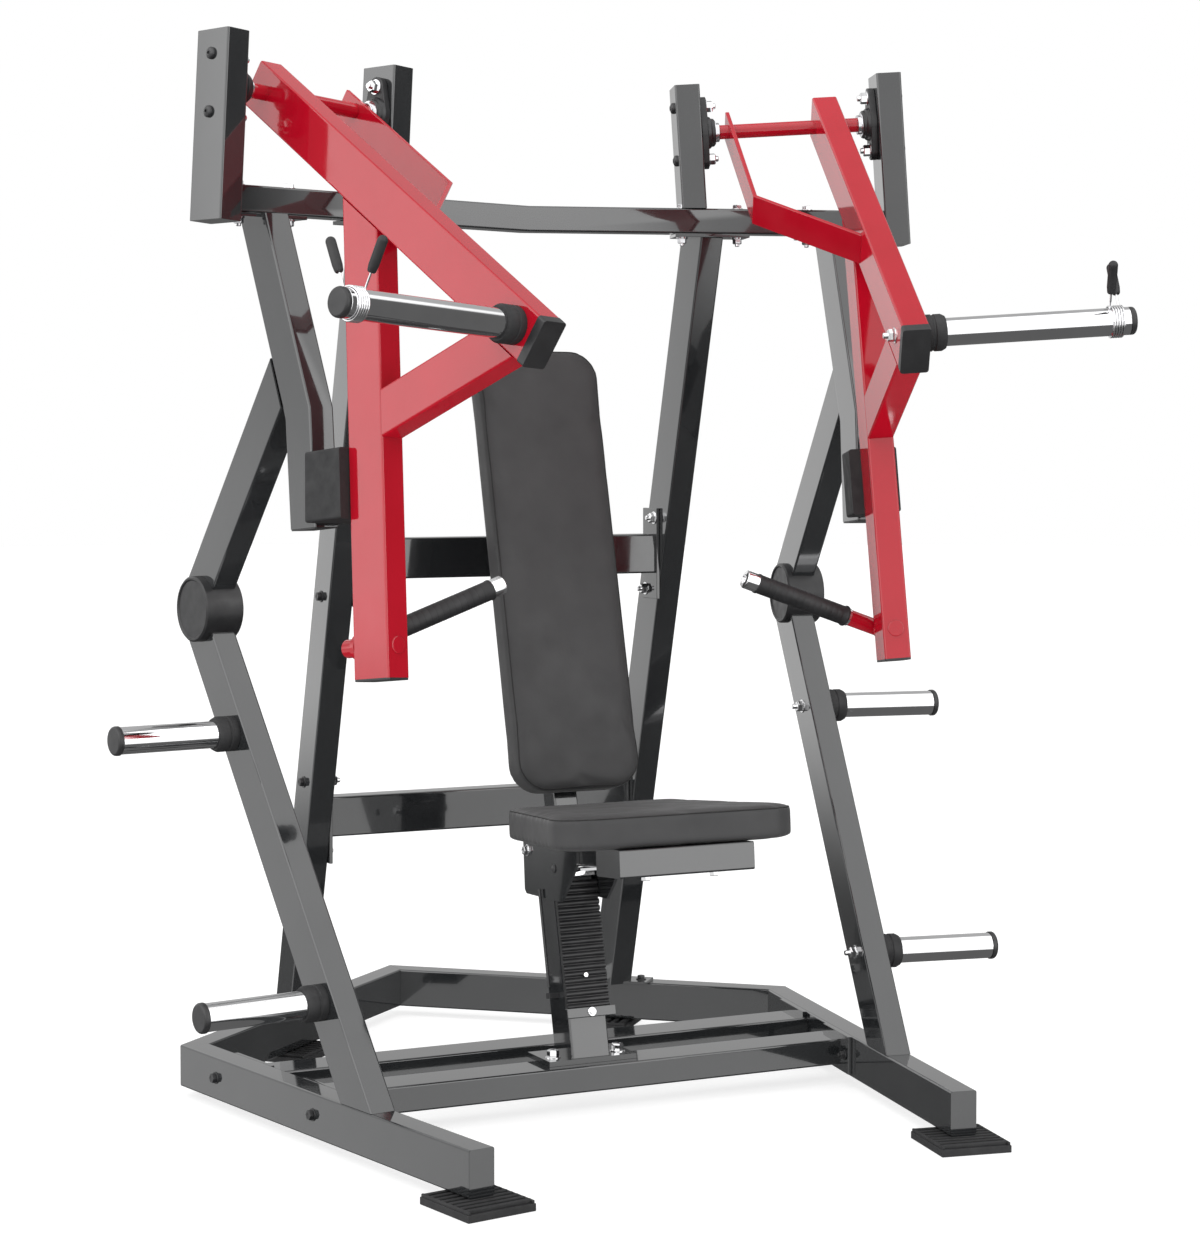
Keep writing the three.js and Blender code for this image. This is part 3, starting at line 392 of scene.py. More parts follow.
def dome_bolt(piece, origin, axis, radius=10.5 * MM, height=7 * MM):
    rim = 2.2 * MM
    bore = radius * 0.42
    profile = [(0, -STAND), (radius, -STAND), (radius, rim)]
    for i in range(1, 6):
        angle = math.pi / 2 * i / 6
        profile.append((radius * math.cos(angle), rim + (height - rim) * math.sin(angle)))
    profile += [(bore, height), (bore, height - 3 * MM), (0, height - 3 * MM)]
    piece.lathe([(0, 0)] + profile[1:], origin, axis, 32)


def hex_bolt(piece, origin, axis, across=17 * MM, height=8 * MM, washer=True, start=0.0):
    """A hexagon head on a washer, with a chamfered top."""
    corner = across / 2 / math.cos(math.pi / 6)
    seat = 0.0
    if washer:
        seat = 1.8 * MM
        outer = across * 0.72
        piece.lathe([(0, 0), (outer, 0), (outer, seat * 0.7), (outer - 0.5 * MM, seat), (0, seat)],
                    origin, axis, 40)
    piece.lathe([(0, seat), (corner, seat), (corner, seat + height * 0.82), (corner * 0.87, seat + height),
                 (corner * 0.5, seat + height), (corner * 0.46, seat + height - 0.6 * MM),
                 (0, seat + height - 0.6 * MM)], origin, axis, 6, start)


def hex_nut(piece, origin, axis, across=17 * MM, height=9 * MM, stud=4 * MM, start=0.3):
    """A nut on a washer, with the bolt's end standing out of it."""
    hex_bolt(piece, origin, axis, across, height, True, start)
    thread = across * 0.28
    end = 1.8 * MM + height + stud
    piece.lathe([(0, 0), (thread, 0), (thread, end - 1 * MM), (thread - 1 * MM, end), (0, end)],
                origin, axis, 20)


# ---------- frame pieces ----------


def end_plate(piece, centre, width_axis, normal, width, depth, thickness=2 * MM, radius=4 * MM):
    """A thin plate with rounded corners that closes a rectangular tube's end."""
    outline = []
    for x, y, first in ((1, 1, 0), (-1, 1, 90), (-1, -1, 180), (1, -1, 270)):
        for step in range(4):
            angle = math.radians(first + 30 * step)
            outline.append((x * (width / 2 - radius) + radius * math.cos(angle),
                            y * (depth / 2 - radius) + radius * math.sin(angle)))
    across = width_axis - normal * width_axis.dot(normal)
    place = basis(centre, across, normal.cross(across))
    piece.prism(outline, thickness, place)


def face_centre(node, direction):
    """The middle of the vertices of a CAD node that lie furthest along a direction."""
    points = [v.co for v in nodes[node].data.vertices]
    reach = max(p.dot(direction) for p in points)
    chosen = [p for p in points if reach - p.dot(direction) < 0.5 * MM]
    low = Vector([min(p[i] for p in chosen) for i in range(3)])
    high = Vector([max(p[i] for p in chosen) for i in range(3)])
    return (low + high) / 2


def tube_ends(side):
    """Closing plates of the frame's open tubes."""
    name = side_name(side)
    outward = mirrored(rail_outward, side)
    forward = mirrored(rail_forward, side)
    arm = arms[side]
    flat_k = Vector((arm.k.x, arm.k.y, 0)).normalized()
    piece = Piece(f"tube_end_plates_{name}", "frame", FRAME_PAINT, "frame_paint")
    inset = 0.6 * MM
    sunk = 2 * MM - inset
    rail_height = 81 * MM
    end_plate(piece, face_centre(f"base_rail_{name}", forward) - forward * sunk, outward, forward,
              TUBE_WIDTH - inset, rail_height - inset)
    for post in ("outer_post", "inner_post"):
        top = face_centre(f"{post}_{name}", arm.v)
        end_plate(piece, top - arm.v * sunk, flat_k, arm.v, TUBE_WIDTH - inset, TUBE_DEPTH - inset)
    bottom = face_centre(f"outer_post_{name}", -arm.v)
    end_plate(piece, bottom + arm.v * sunk, flat_k, -arm.v, TUBE_WIDTH - inset, TUBE_DEPTH - inset)
    piece.done()
    plug = Piece(f"stop_post_plug_{name}", "frame", PLASTIC, "rubber")
    down = (at(567, -215, 1109, side) - at(570, -198, 1313, side)).normalized()
    bottom = face_centre(f"stop_post_{name}", down)
    end_plate(plug, bottom - down * 0.3 * MM, outward, down,
              TUBE_WIDTH - 2 * MM, TUBE_DEPTH - 2 * MM, 3 * MM)
    plug.done()


def knee_hub(side):
    """Round cover of the knee joint: a drum with a raised rim round each flat face."""
    name = side_name(side)
    outward = mirrored(rail_outward, side)
    piece = Piece(f"knee_hub_cover_{name}", "frame", CASTING, "casting", replaces=[f"knee_hub_{name}"])
    low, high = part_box(f"knee_hub_{name}")
    centre = (low + high) / 2
    half, radius = 39.5 * MM, 62 * MM
    rim, dish = 6 * MM, 2.5 * MM
    profile = [(0, -half + dish), (radius - rim - dish, -half + dish), (radius - rim, -half),
               (radius - 3 * MM, -half), (radius, -half + 3 * MM), (radius, half - 3 * MM),
               (radius - 3 * MM, half), (radius - rim, half), (radius - rim - dish, half - dish),
               (0, half - dish)]
    piece.lathe(profile, centre, outward, 72)
    piece.done()


def feet(side):
    """Rubber feet with ribs across the parts that show either side of the rail."""
    for place in ("front", "rear"):
        node = f"{place}_foot_{side_name(side)}"
        low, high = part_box(node)
        centre = (low + high) / 2
        if place == "front":
            along = mirrored(rail_forward, side)
        else:
            run = at(0, 867, 0) - at(671, 264, 0, side)
            along = run.normalized()
        across = along.cross(UP)
        width, length, base, top = 133 * MM, 148 * MM, 13 * MM, 19.7 * MM
        piece = Piece(node + "_ribbed", "frame", RUBBER, "rubber", replaces=[node], bevel=1.2 * MM)
        floor = Vector((centre.x, centre.y, 0))
        piece.block((width, length, base), basis(floor, across, along))
        rib = 9 * MM
        count = 8
        for i in range(count):
            step = (i + 0.5) / count * (length - 6 * MM) - (length - 6 * MM) / 2
            origin = floor + along * step + UP * (base - STAND)
            piece.block((width - 6 * MM, rib, top - base), basis(origin, across, along))
        for edge in (-1, 1):
            origin = floor + across * edge * (width / 2 - 4 * MM) + UP * (base - STAND)
            piece.block((5 * MM, length - 4 * MM, top - base - 1 * MM), basis(origin, across, along))
        piece.done()


def base_bolts(side):
    """Hexagon bolts through the rails, and flange plates where the cross tubes meet them."""
    name = side_name(side)
    outward = mirrored(rail_outward, side)
    bolts = Piece(f"rail_bolts_{name}", "frame", BLACK_BOLT, "casting")
    plates = Piece(f"cross_tube_flanges_{name}", "frame", FRAME_PAINT, "frame_paint", bevel=0.8 * MM)
    inner = Piece(f"flange_bolts_{name}", "frame", BLACK_BOLT, "casting")
    corner = at(671, 264, 62, side)
    for y in (123, -235):
        run = (264 - y) * MM / math.cos(RAIL_YAW)
        face = corner + mirrored(rail_forward, side) * run
        hex_bolt(bolts, face, outward, 16 * MM, 8 * MM)
        hex_nut(inner, face - outward * (TUBE_WIDTH + 9 * MM), -outward, 14 * MM, 8 * MM)
    for front, back in ((-254, -114), (2, 142)):
        middle = (front + back) / 2
        run = (264 - middle) * MM / math.cos(RAIL_YAW)
        face = corner + mirrored(rail_forward, side) * run - outward * (TUBE_WIDTH + STAND)
        length = (back - front) * MM
        place = basis(face + UP * 1 * MM, mirrored(rail_forward, side), UP)
        if place.col[2].to_3d().dot(outward) > 0:
            place = place @ Matrix.Translation((0, 0, -8 * MM))
        plates.block((length, 74 * MM, 8 * MM), place)
    for piece in (bolts, plates, inner):
        piece.done()


def storage_horns(side):
    name = side_name(side)
    outward = mirrored(rail_outward, side)
    foot, hub = at(532.5, -376, 101, side), at(641, 203, 948, side)
    nuts = Piece(f"horn_fixing_nuts_{name}", "frame", CHROME, "chrome")
    for node, height in STORAGE_HEIGHTS.items():
        share = (height - foot.z) / (hub.z - foot.z)
        centre = foot.lerp(hub, share)
        root = centre + outward * (TUBE_WIDTH / 2 + STAND)
        horn_set(f"{node}_{name}", "frame", root, outward, STORAGE_REACH, f"{node}_{name}")
        hex_nut(nuts, centre - outward * (TUBE_WIDTH / 2), -outward, 19 * MM, 11 * MM, 9 * MM)
    nuts.done()


def horn_set(name, body, root, axis, reach, node, cap_radius=27 * MM):
    """Chrome plate horn, its rubber collar and its domed end cap."""
    tube = Piece(f"{name}_tube", body, CHROME, "chrome", replaces=[node])
    end = reach - CAP_LENGTH + 1 * MM
    tube.lathe([(0, 1 * MM), (HORN_RADIUS, 1 * MM), (HORN_RADIUS, end - 1 * MM),
                (HORN_RADIUS - 1 * MM, end), (0, end)], root, axis, 64)
    tube.done()
    collar = Piece(f"{name}_collar", body, RUBBER, "rubber")
    inner = HORN_RADIUS + 0.2 * MM
    outer = COLLAR_RADIUS
    groove = outer - 1.5 * MM
    profile = [(inner, 0), (outer, 0), (outer, COLLAR_LENGTH * 0.34), (groove, COLLAR_LENGTH * 0.38),
               (groove, COLLAR_LENGTH * 0.46), (outer, COLLAR_LENGTH * 0.5), (outer, COLLAR_LENGTH * 0.82),
               (outer - 3.5 * MM, COLLAR_LENGTH), (inner, COLLAR_LENGTH), (inner, 0)]
    collar.lathe(profile, root, axis, 56)
    collar.done()
    cap = Piece(f"{name}_cap", body, PLASTIC, "rubber")
    base = reach - CAP_LENGTH
    profile = [(0, base + 1.2 * MM), (cap_radius, base + 1.2 * MM), (cap_radius, base + 6 * MM)]
    for i in range(1, 7):
        angle = math.pi / 2 * i / 7
        profile.append((cap_radius - 6 * MM * (1 - math.cos(angle)),
                        base + 6 * MM + 6 * MM * math.sin(angle)))
    profile.append((0, reach))
    cap.lathe(profile, root, axis, 56)
    cap.done()


def top_beam_fixings(side):
    """Bolts through the top beam, and the plates and nuts under it."""
    name = side_name(side)
    heads = Piece(f"top_beam_bolts_{name}", "frame", STEEL, "chrome")
    plates = Piece(f"top_beam_plates_{name}", "frame", FRAME_PAINT, "frame_paint", bevel=0.8 * MM)
    slope = Vector((1, -TOP_BEAM_SLOPE, 0)).normalized()
    along = mirrored(slope, side)
    for x in (600, 356.5):
        y = 131 - x * TOP_BEAM_SLOPE
        plate = at(x, y, 1675, side)
        plates.block((150 * MM, 62 * MM, 7 * MM),
                     basis(plate - UP * (7 * MM + STAND), along, UP.cross(along)))
        for step in (-56, 56):
            origin = plate + along * step * MM
            hex_bolt(heads, origin + UP * (50 * MM + STAND), UP, 17 * MM, 7 * MM)
            hex_nut(heads, origin - UP * (7 * MM + 2 * STAND), -UP, 16 * MM, 9 * MM, 5 * MM)
    heads.done()
    plates.done()


def upright_fixings(side):
    """Foot plates of the rear uprights, and bolts where the rear cross tubes meet them."""
    name = side_name(side)
    outside = Vector((side, 0, 0))
    bolts = Piece(f"upright_bolts_{name}", "frame", BLACK_BOLT, "casting")
    nuts = Piece(f"upright_nuts_{name}", "frame", CHROME, "chrome")
    plates = Piece(f"upright_plates_{name}", "frame", FRAME_PAINT, "frame_paint", bevel=0.8 * MM)
    foot, top = at(362, 481, 101, side), at(356.5, 43.6, 1725, side)
    lean = (top - foot).normalized()
    for cross, spacing in (("upper_rear_cross", 76), ("lower_rear_cross", 76)):
        low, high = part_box(cross)
        centre = foot + lean * (((low.z + high.z) / 2 - foot.z) / lean.z)
        place = basis(centre - outside * (TUBE_WIDTH / 2 + STAND), Vector((0, 1, 0)), lean)
        if place.col[2].to_3d().dot(outside) > 0:
            place = place @ Matrix.Translation((0, 0, -7 * MM))
        plates.block((62 * MM, 186 * MM, 7 * MM), place)
        for step in (-spacing, spacing):
            spot = centre + lean * step * MM
            hex_bolt(bolts, spot + outside * (TUBE_WIDTH / 2), outside, 16 * MM, 8 * MM)
            hex_nut(nuts, spot - outside * (TUBE_WIDTH / 2 + 7 * MM + STAND), -outside,
                    18 * MM, 10 * MM, 7 * MM)
    run = (at(0, 867, 0) - at(671, 264, 0, side)).normalized()
    plates.block((170 * MM, 62 * MM, 6 * MM), basis(foot + UP * STAND, run, UP.cross(run)))
    for step in (-66, 66):
        hex_bolt(bolts, foot + run * step * MM + UP * 6.3 * MM, UP, 15 * MM, 7 * MM)
    for piece in (bolts, nuts, plates):
        piece.done()


def post_fixings(side):
    """Bolts that hold the bearings: domed heads outside the outer posts, hexagon heads on the bearings."""
    name = side_name(side)
    arm = arms[side]
    domes = Piece(f"post_bolts_{name}", "frame", BLACK_BOLT, "casting")
    studs = Piece(f"bearing_bolts_{name}", "frame", CHROME, "chrome")
    outer_face, inner_face = -1 * MM, -354 * MM
    for v in (52 * MM, -52 * MM):
        dome_bolt(domes, arm.point(outer_face + TUBE_WIDTH, 0, v), arm.k, 11 * MM, 8 * MM)
        dome_bolt(domes, arm.point(inner_face - TUBE_WIDTH, 0, v), -arm.k, 11 * MM, 8 * MM)
        plate = 13 * MM + STAND
        hex_nut(studs, arm.point(inner_face + plate, 0, v), arm.k, 20 * MM, 12 * MM, 6 * MM)
        hex_nut(studs, arm.point(outer_face - plate, 0, v), -arm.k, 20 * MM, 12 * MM, 6 * MM)
    domes.done()
    studs.done()


def bearing(side, place):
    """A flanged housing: two-eared plate, stepped boss, and an insert with a locking collar."""
    name = side_name(side)
    node = f"{place}_bearing_{name}"
    arm = arms[side]
    face, away = (-1 * MM - STAND, -1) if place == "outer" else (-354 * MM + STAND, 1)
    axis = arm.k * away
    piece = Piece(node + "_housing", "frame", CASTING, "casting", replaces=[node], bevel=1.2 * MM)
    outline = []
    ear, reach, waist = 19.5 * MM, 52 * MM, 31 * MM
    for centre, radius, first, last in ((reach, ear, 20, 160), (0, waist, 160, 200),
                                        (-reach, ear, 200, 340), (0, waist, -20, 20)):
        for step in range(9):
            angle = math.radians(first + (last - first) * step / 8)
            outline.append((radius * math.cos(angle), centre + radius * math.sin(angle)))
    origin = arm.point(face, 0, 0)
    placed = basis(origin, arm.v.cross(axis), arm.v)
    piece.prism(outline, 13 * MM, placed)
    bore = 14.4 * MM
    piece.lathe([(bore, 12 * MM), (33 * MM, 12 * MM), (31 * MM, 19 * MM), (28 * MM, 21 * MM),
                 (27.5 * MM, 26 * MM), (25 * MM, 28 * MM), (bore, 28 * MM), (bore, 12 * MM)],
                origin, axis, 56)
    piece.done()
    insert = Piece(node + "_insert", "frame", STEEL, "chrome")
    insert.lathe([(bore, 27 * MM), (24 * MM, 27 * MM), (24 * MM, 29 * MM), (19 * MM, 29.5 * MM),
                  (19 * MM, 36 * MM), (18 * MM, 37 * MM), (bore, 37 * MM), (bore, 27 * MM)],
                 origin, axis, 48)
    insert.done()


# ---------- arms ----------


def arm_pieces(side):
    name = side_name(side)
    body = f"{name}_arm"
    arm = arms[side]
    caps = Piece(f"arm_end_caps_{name}", body, PLASTIC, "rubber", bevel=0.8 * MM)
    end_plate(caps, arm.beam(BEAM_END - 12 * MM, 0, ARM_CENTRE), arm.k, arm.along, TUBE_WIDTH + 1.6 * MM,
              TUBE_DEPTH + 1.6 * MM, 18 * MM, 5 * MM)
    end_plate(caps, arm.lever(-1041 * MM, 0) + arm.lever_up * 1 * MM, arm.k, -arm.lever_up,
              TUBE_WIDTH, TUBE_DEPTH, 5 * MM, 5 * MM)
    caps.done()
    top = Piece(f"arm_beam_end_plate_{name}", body, ARM_PAINT, "arm_paint")
    end_plate(top, arm.beam(BEAM_START + 1.5 * MM, 0, ARM_CENTRE), arm.k, -arm.along,
              TUBE_WIDTH - 0.6 * MM, TUBE_DEPTH - 0.6 * MM)
    top.done()
    root = arm.beam(HORN_ALONG, 0, ARM_CENTRE + TUBE_WIDTH / 2 + STAND)
    reach = HORN_TIP - ARM_CENTRE - TUBE_WIDTH / 2 - STAND
    horn_set(f"arm_horn_{name}", body, root, arm.k, reach, f"arm_horn_{name}", HORN_RADIUS)
    fixings = Piece(f"arm_fixings_{name}", body, CHROME, "chrome")
    inside = arm.beam(HORN_ALONG, 0, ARM_CENTRE - TUBE_WIDTH / 2)
    hex_nut(fixings, inside, -arm.k, 20 * MM, 12 * MM, 8 * MM)
    fixings.done()
    disc = Piece(f"handle_bolt_cover_{name}", body, ARM_PAINT, "arm_paint")
    front = arm.lever(-985 * MM, TUBE_DEPTH / 2)
    disc.lathe([(0, 0), (15 * MM, 0), (15 * MM, 1.5 * MM), (13.5 * MM, 2.5 * MM), (0, 2.5 * MM)],
               front, arm.lever_front, 40)
    disc.done()
    handle(side)
    spring_clip(side)


def handle(side):
    """Boss, red root tube, rubber grip with end flanges, chrome ring and chrome end."""
    name = side_name(side)
    body = f"{name}_arm"
    arm = arms[side]
    rear = arm.lever(-985 * MM, -TUBE_DEPTH / 2 - STAND)
    back = -arm.lever_front
    centre = rear + back * 26 * MM
    tip = arm.point(-374 * MM, 367 * MM, -870 * MM)
    axis = (tip - centre).normalized()
    length = (tip - centre).length
    root = Piece(f"handle_root_{name}", body, ARM_PAINT, "arm_paint", replaces=[f"handle_{name}"])
    root.lathe([(0, 0), (24 * MM, 0), (25 * MM, 1 * MM), (25 * MM, 9 * MM), (24 * MM, 10 * MM),
                (0, 10 * MM)], rear, back, 48)
    root.lathe([(0, 8 * MM), (16.5 * MM, 8 * MM), (16.5 * MM, 40 * MM), (15 * MM, 42 * MM), (0, 42 * MM)],
               rear, back, 40)
    root.lathe([(0, -4 * MM), (15.5 * MM, -4 * MM), (15.5 * MM, 92 * MM), (0, 92 * MM)], centre, axis, 40)
    root.done()
    grip = Piece(f"handle_grip_{name}", body, GRIP, "grip_rubber")
    start, end = 88 * MM, length - 26 * MM
    profile = [(15.6 * MM, start), (19 * MM, start), (20 * MM, start + 1.5 * MM), (20 * MM, start + 4 * MM),
               (18 * MM, start + 7 * MM)]
    rings = 14
    for i in range(rings):
        low = start + 12 * MM + (end - start - 24 * MM) * i / rings
        profile += [(18 * MM, low), (17.4 * MM, low + 0.8 * MM), (17.4 * MM, low + 2.2 * MM),
                    (18 * MM, low + 3 * MM)]
    profile += [(18 * MM, end - 7 * MM), (19 * MM, end - 4 * MM), (19 * MM, end - 1 * MM), (18 * MM, end),
                (15.6 * MM, end), (15.6 * MM, start)]
    grip.lathe(profile, centre, axis, 48)
    grip.done()
    bright = Piece(f"handle_end_{name}", body, CHROME, "chrome")
    bright.lathe([(0, end - 1 * MM), (16.5 * MM, end - 1 * MM), (17.5 * MM, end + 1 * MM),
                  (17.5 * MM, length - 3 * MM), (15.5 * MM, length - 0.6 * MM), (9 * MM, length),
                  (8 * MM, length - 3 * MM), (0, length - 3 * MM)], centre, axis, 48)
    bright.lathe([(15.7 * MM, start - 5 * MM), (17.2 * MM, start - 5 * MM), (17.2 * MM, start - 0.3 * MM),
                  (15.7 * MM, start - 0.3 * MM), (15.7 * MM, start - 5 * MM)], centre, axis, 48)
    bright.done()


def spring_clip(side):
    """Wound wire collar on the horn, its two ends bent up into rubber grips."""
    name = side_name(side)
    body = f"{name}_clip"
    arm = arms[side]
    wire = 1.9 * MM
    inner = HORN_RADIUS + 0.5 * MM
    start, turns, per_turn = 262 * MM, 5, 28
    centre = arm.beam(HORN_ALONG, 0, 0)
    up, side_way = arm.v, arm.f
    path = []
    lean = math.radians(26)
    for i in range(turns * per_turn + 1):
        angle = math.pi / 2 - lean + (2 * math.pi * turns + 2 * lean) * i / (turns * per_turn)
        k = start + wire + (27 * MM - 2 * wire) * i / (turns * per_turn)
        radial = side_way * math.cos(angle) + up * math.sin(angle)
        path.append(centre + arm.k * k + radial * (inner + wire))
    legs = []
    for end, sign in ((0, 1), (-1, -1)):
        base = path[end]
        away = (side_way * math.sin(lean) * sign + up * math.cos(lean)).normalized()
        first = base + away * 14 * MM
        legs.append((first, away))
        stub = [base + away * step * MM for step in (3, 14, 26, 36)]
        path = (list(reversed(stub)) + path) if end == 0 else (path + stub)
    coil = Piece(f"spring_clip_coil_{name}", body, CHROME, "chrome",
                 replaces=[f"spring_clip_{name}"], sharp=60)
    coil.tube(path, wire, 10)
    coil.done()
    grips = Piece(f"spring_clip_grips_{name}", body, GRIP, "grip_rubber")
    for first, away in legs:
        low = first + away * 14 * MM
        radius, length = 8.5 * MM, 62 * MM
        profile = [(0, 0), (radius * 0.7, 0), (radius * 0.85, 2 * MM), (radius, 12 * MM),
                   (radius, length - radius)]
        for i in range(1, 6):
            angle = math.pi / 2 * i / 6
            profile.append((radius * math.cos(angle), length - radius + radius * math.sin(angle)))
        profile.append((0, length))
        grips.lathe(profile, low, away, 28)
    grips.done()


# ---------- seat ----------


def seat_point(length, x, above):
    """A point under the seat by its distance from the front edge, in the seat's tilted frame."""
    run = Vector((0, math.cos(SEAT_TILT), -math.sin(SEAT_TILT)))
    rise = Vector((0, math.sin(SEAT_TILT), math.cos(SEAT_TILT)))
    return at(0, -571, 551) + Vector((x, 0, 0)) + run * length + rise * above


def post_point(along, ahead, x=0.0):
    return at(0, -172, 98) + Vector((x, 0, 0)) + post_up * along + post_front * ahead


def seat_details():
    run = seat_point(1, 0, 0) - seat_point(0, 0, 0)
    rise = seat_point(0, 0, 1) - seat_point(0, 0, 0)
    caps = Piece("seat_beam_ends", "seat", FRAME_PAINT, "frame_paint")
    for side in (-1, 1):
        end = seat_point((8 + 47.5) * MM, side * 134 * MM, -25.3 * MM) - RIGHT * side * 1.7 * MM
        end_plate(caps, end, run, RIGHT * side, 94.4 * MM, 49.4 * MM)
    caps.done()
    bolts = Piece("seat_bolts", "seat", CHROME, "chrome")
    for x in (-68, 68):
        hex_bolt(bolts, seat_point(40 * MM, x * MM, -50.3 * MM), -rise, 16 * MM, 7 * MM)
    for side in (-1, 1):
        outside = RIGHT * side
        roller = post_point((492 - 98) * MM / post_up.z, -90 * MM, side * 51 * MM)
        hex_bolt(bolts, roller, outside, 16 * MM, 7 * MM)
    bolts.done()
    pins = Piece("carriage_pins", "seat", BLACK_BOLT, "casting")
    for side in (-1, 1):
        pin = post_point((446 - 98) * MM / post_up.z, 26 * MM, side * 51 * MM)
        pins.lathe([(0, -STAND), (8 * MM, -STAND), (8 * MM, 1.5 * MM), (6.5 * MM, 2.5 * MM), (0, 2.5 * MM)],
                   pin, RIGHT * side, 32)
    pins.done()


def seat_post_details():
    bolts = Piece("seat_post_bolts", "frame", CHROME, "chrome")
    for side in (-1, 1):
        hex_bolt(bolts, at(side * 68, -145, 98), UP, 20 * MM, 13 * MM, True, 0.4 * side)
    stop = post_point(84 * MM, 13 * MM)
    hex_bolt(bolts, post_point(84 * MM, 22.3 * MM), post_front, 12 * MM, 5 * MM)
    hex_bolt(bolts, post_point(154 * MM, 8.5 * MM), post_front, 9 * MM, 4 * MM, False)
    bolts.done()
    bar = Piece("seat_stop_bar", "frame", FRAME_PAINT, "frame_paint", bevel=1.5 * MM)
    bar.block((102 * MM, 19 * MM, 9 * MM), basis(stop, RIGHT, post_up))
    bar.done()
    rod = Piece("seat_guide_rod", "frame", BLACK_BOLT, "casting")
    ahead, across = -40 * MM, -56 * MM
    radius, length = 3 * MM, 187 * MM
    rod.lathe([(0, 0), (radius, 0), (radius, length), (0, length)], post_point(138 * MM, ahead, across),
              post_up, 20)
    bracket = post_point(127 * MM, ahead, -50.4 * MM)
    rod.block((20 * MM, 14 * MM, 10 * MM), basis(bracket, RIGHT, post_front))
    rod.done()


# ---------- pads ----------


def pad(node, body, name, lean, face):
    """A foam pad under a vinyl cover: the CAD solid, drawn in a little, softened and swelled by cloth."""
    data = nodes[node].data.copy()
    obj = bpy.data.objects.new(name, data)
    bpy.context.scene.collection.objects.link(obj)
    low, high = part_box(node)
    centre = (low + high) / 2
    turn = Matrix.Rotation(lean, 4, "X")
    data.transform(turn.inverted() @ Matrix.Translation(-centre))
    size, middle = extent(data)
    inset = 4 * MM
    scale = Matrix.Diagonal([(s - 2 * inset) / s for s in size] + [1])
    data.transform(scale @ Matrix.Translation([-m for m in middle]))
    back = Matrix.Translation(turn @ Vector(middle) + centre) @ turn
    remesh = obj.modifiers.new("remesh", "REMESH")
    remesh.mode = "VOXEL"
    remesh.voxel_size = 6 * MM
    soften = obj.modifiers.new("soften", "SMOOTH")
    soften.factor, soften.iterations = 0.5, 4
    apply_modifiers(obj)
    swell(obj, 4.5 * MM)
    smooth = obj.modifiers.new("smooth", "SUBSURF")
    smooth.levels = smooth.render_levels = 1
    apply_modifiers(obj)
    piping(obj, body, name, face, back)
    obj.data.transform(back)
    obj.data.shade_smooth()
    obj.data.materials.clear()
    obj.data.materials.append(VINYL)
    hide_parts(node)
    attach(obj, body)


def extent(data):
    points = [v.co for v in data.vertices]
    low = [min(p[i] for p in points) for i in range(3)]
    high = [max(p[i] for p in points) for i in range(3)]
    return [b - a for a, b in zip(low, high)], [(a + b) / 2 for a, b in zip(low, high)]


def piping(obj, body, name, face, back):
    """The seam that runs round the cover a little behind its face."""
    size, middle = extent(obj.data)
    axis, sign = face
    level = middle[axis] + sign * (size[axis] / 2 - 7 * MM)
    across, along = [i for i in range(3) if i != axis]
    obj.data.update()
    tree = BVHTree.FromPolygons([v.co for v in obj.data.vertices], [p.vertices for p in obj.data.polygons])
    path = []
    count = 360
    for i in range(count):
        angle = 2 * math.pi * i / count
        start, target = Vector(middle), Vector(middle)
        start[axis] = target[axis] = level
        start[across] += size[across] * math.cos(angle)
        start[along] += size[along] * math.sin(angle)
        hit = tree.ray_cast(start, (target - start).normalized())[0]
        if hit:
            path.append(back @ hit)
    # The cord's near-black colour is painted shade along the cover's edge line.
    seam = Piece(name + "_seam", body, PAINTED_SHADE_SEAM, "upholstery", sharp=80)
    seam.tube(path, 1.3 * MM, 8, True)
    seam.done()


def apply_modifiers(obj):
    bpy.context.view_layer.update()
    evaluated = obj.evaluated_get(bpy.context.evaluated_depsgraph_get())
    data = bpy.data.meshes.new_from_object(evaluated)
    obj.modifiers.clear()
    obj.data = data


def swell(obj, cap):
    """Inflates the mesh by up to cap, as a stuffed cover swells."""
    rest = [v.co.copy() for v in obj.data.vertices]
    cloth = obj.modifiers.new("cloth", "CLOTH")
    cloth.settings.use_pressure = True
    cloth.settings.uniform_pressure_force = 4
    cloth.settings.effector_weights.gravity = 0
    cloth.settings.tension_stiffness = cloth.settings.compression_stiffness = 30
    cloth.settings.bending_stiffness = 5
    scene = bpy.context.scene
    scene.frame_start, scene.frame_end = 1, 20
    for step in range(1, 21):
        scene.frame_set(step)
    apply_modifiers(obj)
    scene.frame_set(1)
    for vertex, start in zip(obj.data.vertices, rest):
        move = vertex.co - start
        if move.length > cap:
            vertex.co = start + move * (cap / move.length)


# ---------- assembly ----------

for node_name in nodes:
    dress_cad_node(node_name)
for each_side in (-1, 1):
    tube_ends(each_side)
    knee_hub(each_side)
    feet(each_side)
    base_bolts(each_side)
    storage_horns(each_side)
    top_beam_fixings(each_side)
    upright_fixings(each_side)
    post_fixings(each_side)
    bearing(each_side, "outer")
    bearing(each_side, "inner")
    arm_pieces(each_side)
seat_details()
seat_post_details()
pad("seat_pad", "seat", "seat_cushion", -SEAT_TILT, (2, 1))
pad("back_pad", "frame", "back_cushion", -PAD_LEAN, (1, -1))

# ---------- stage ----------


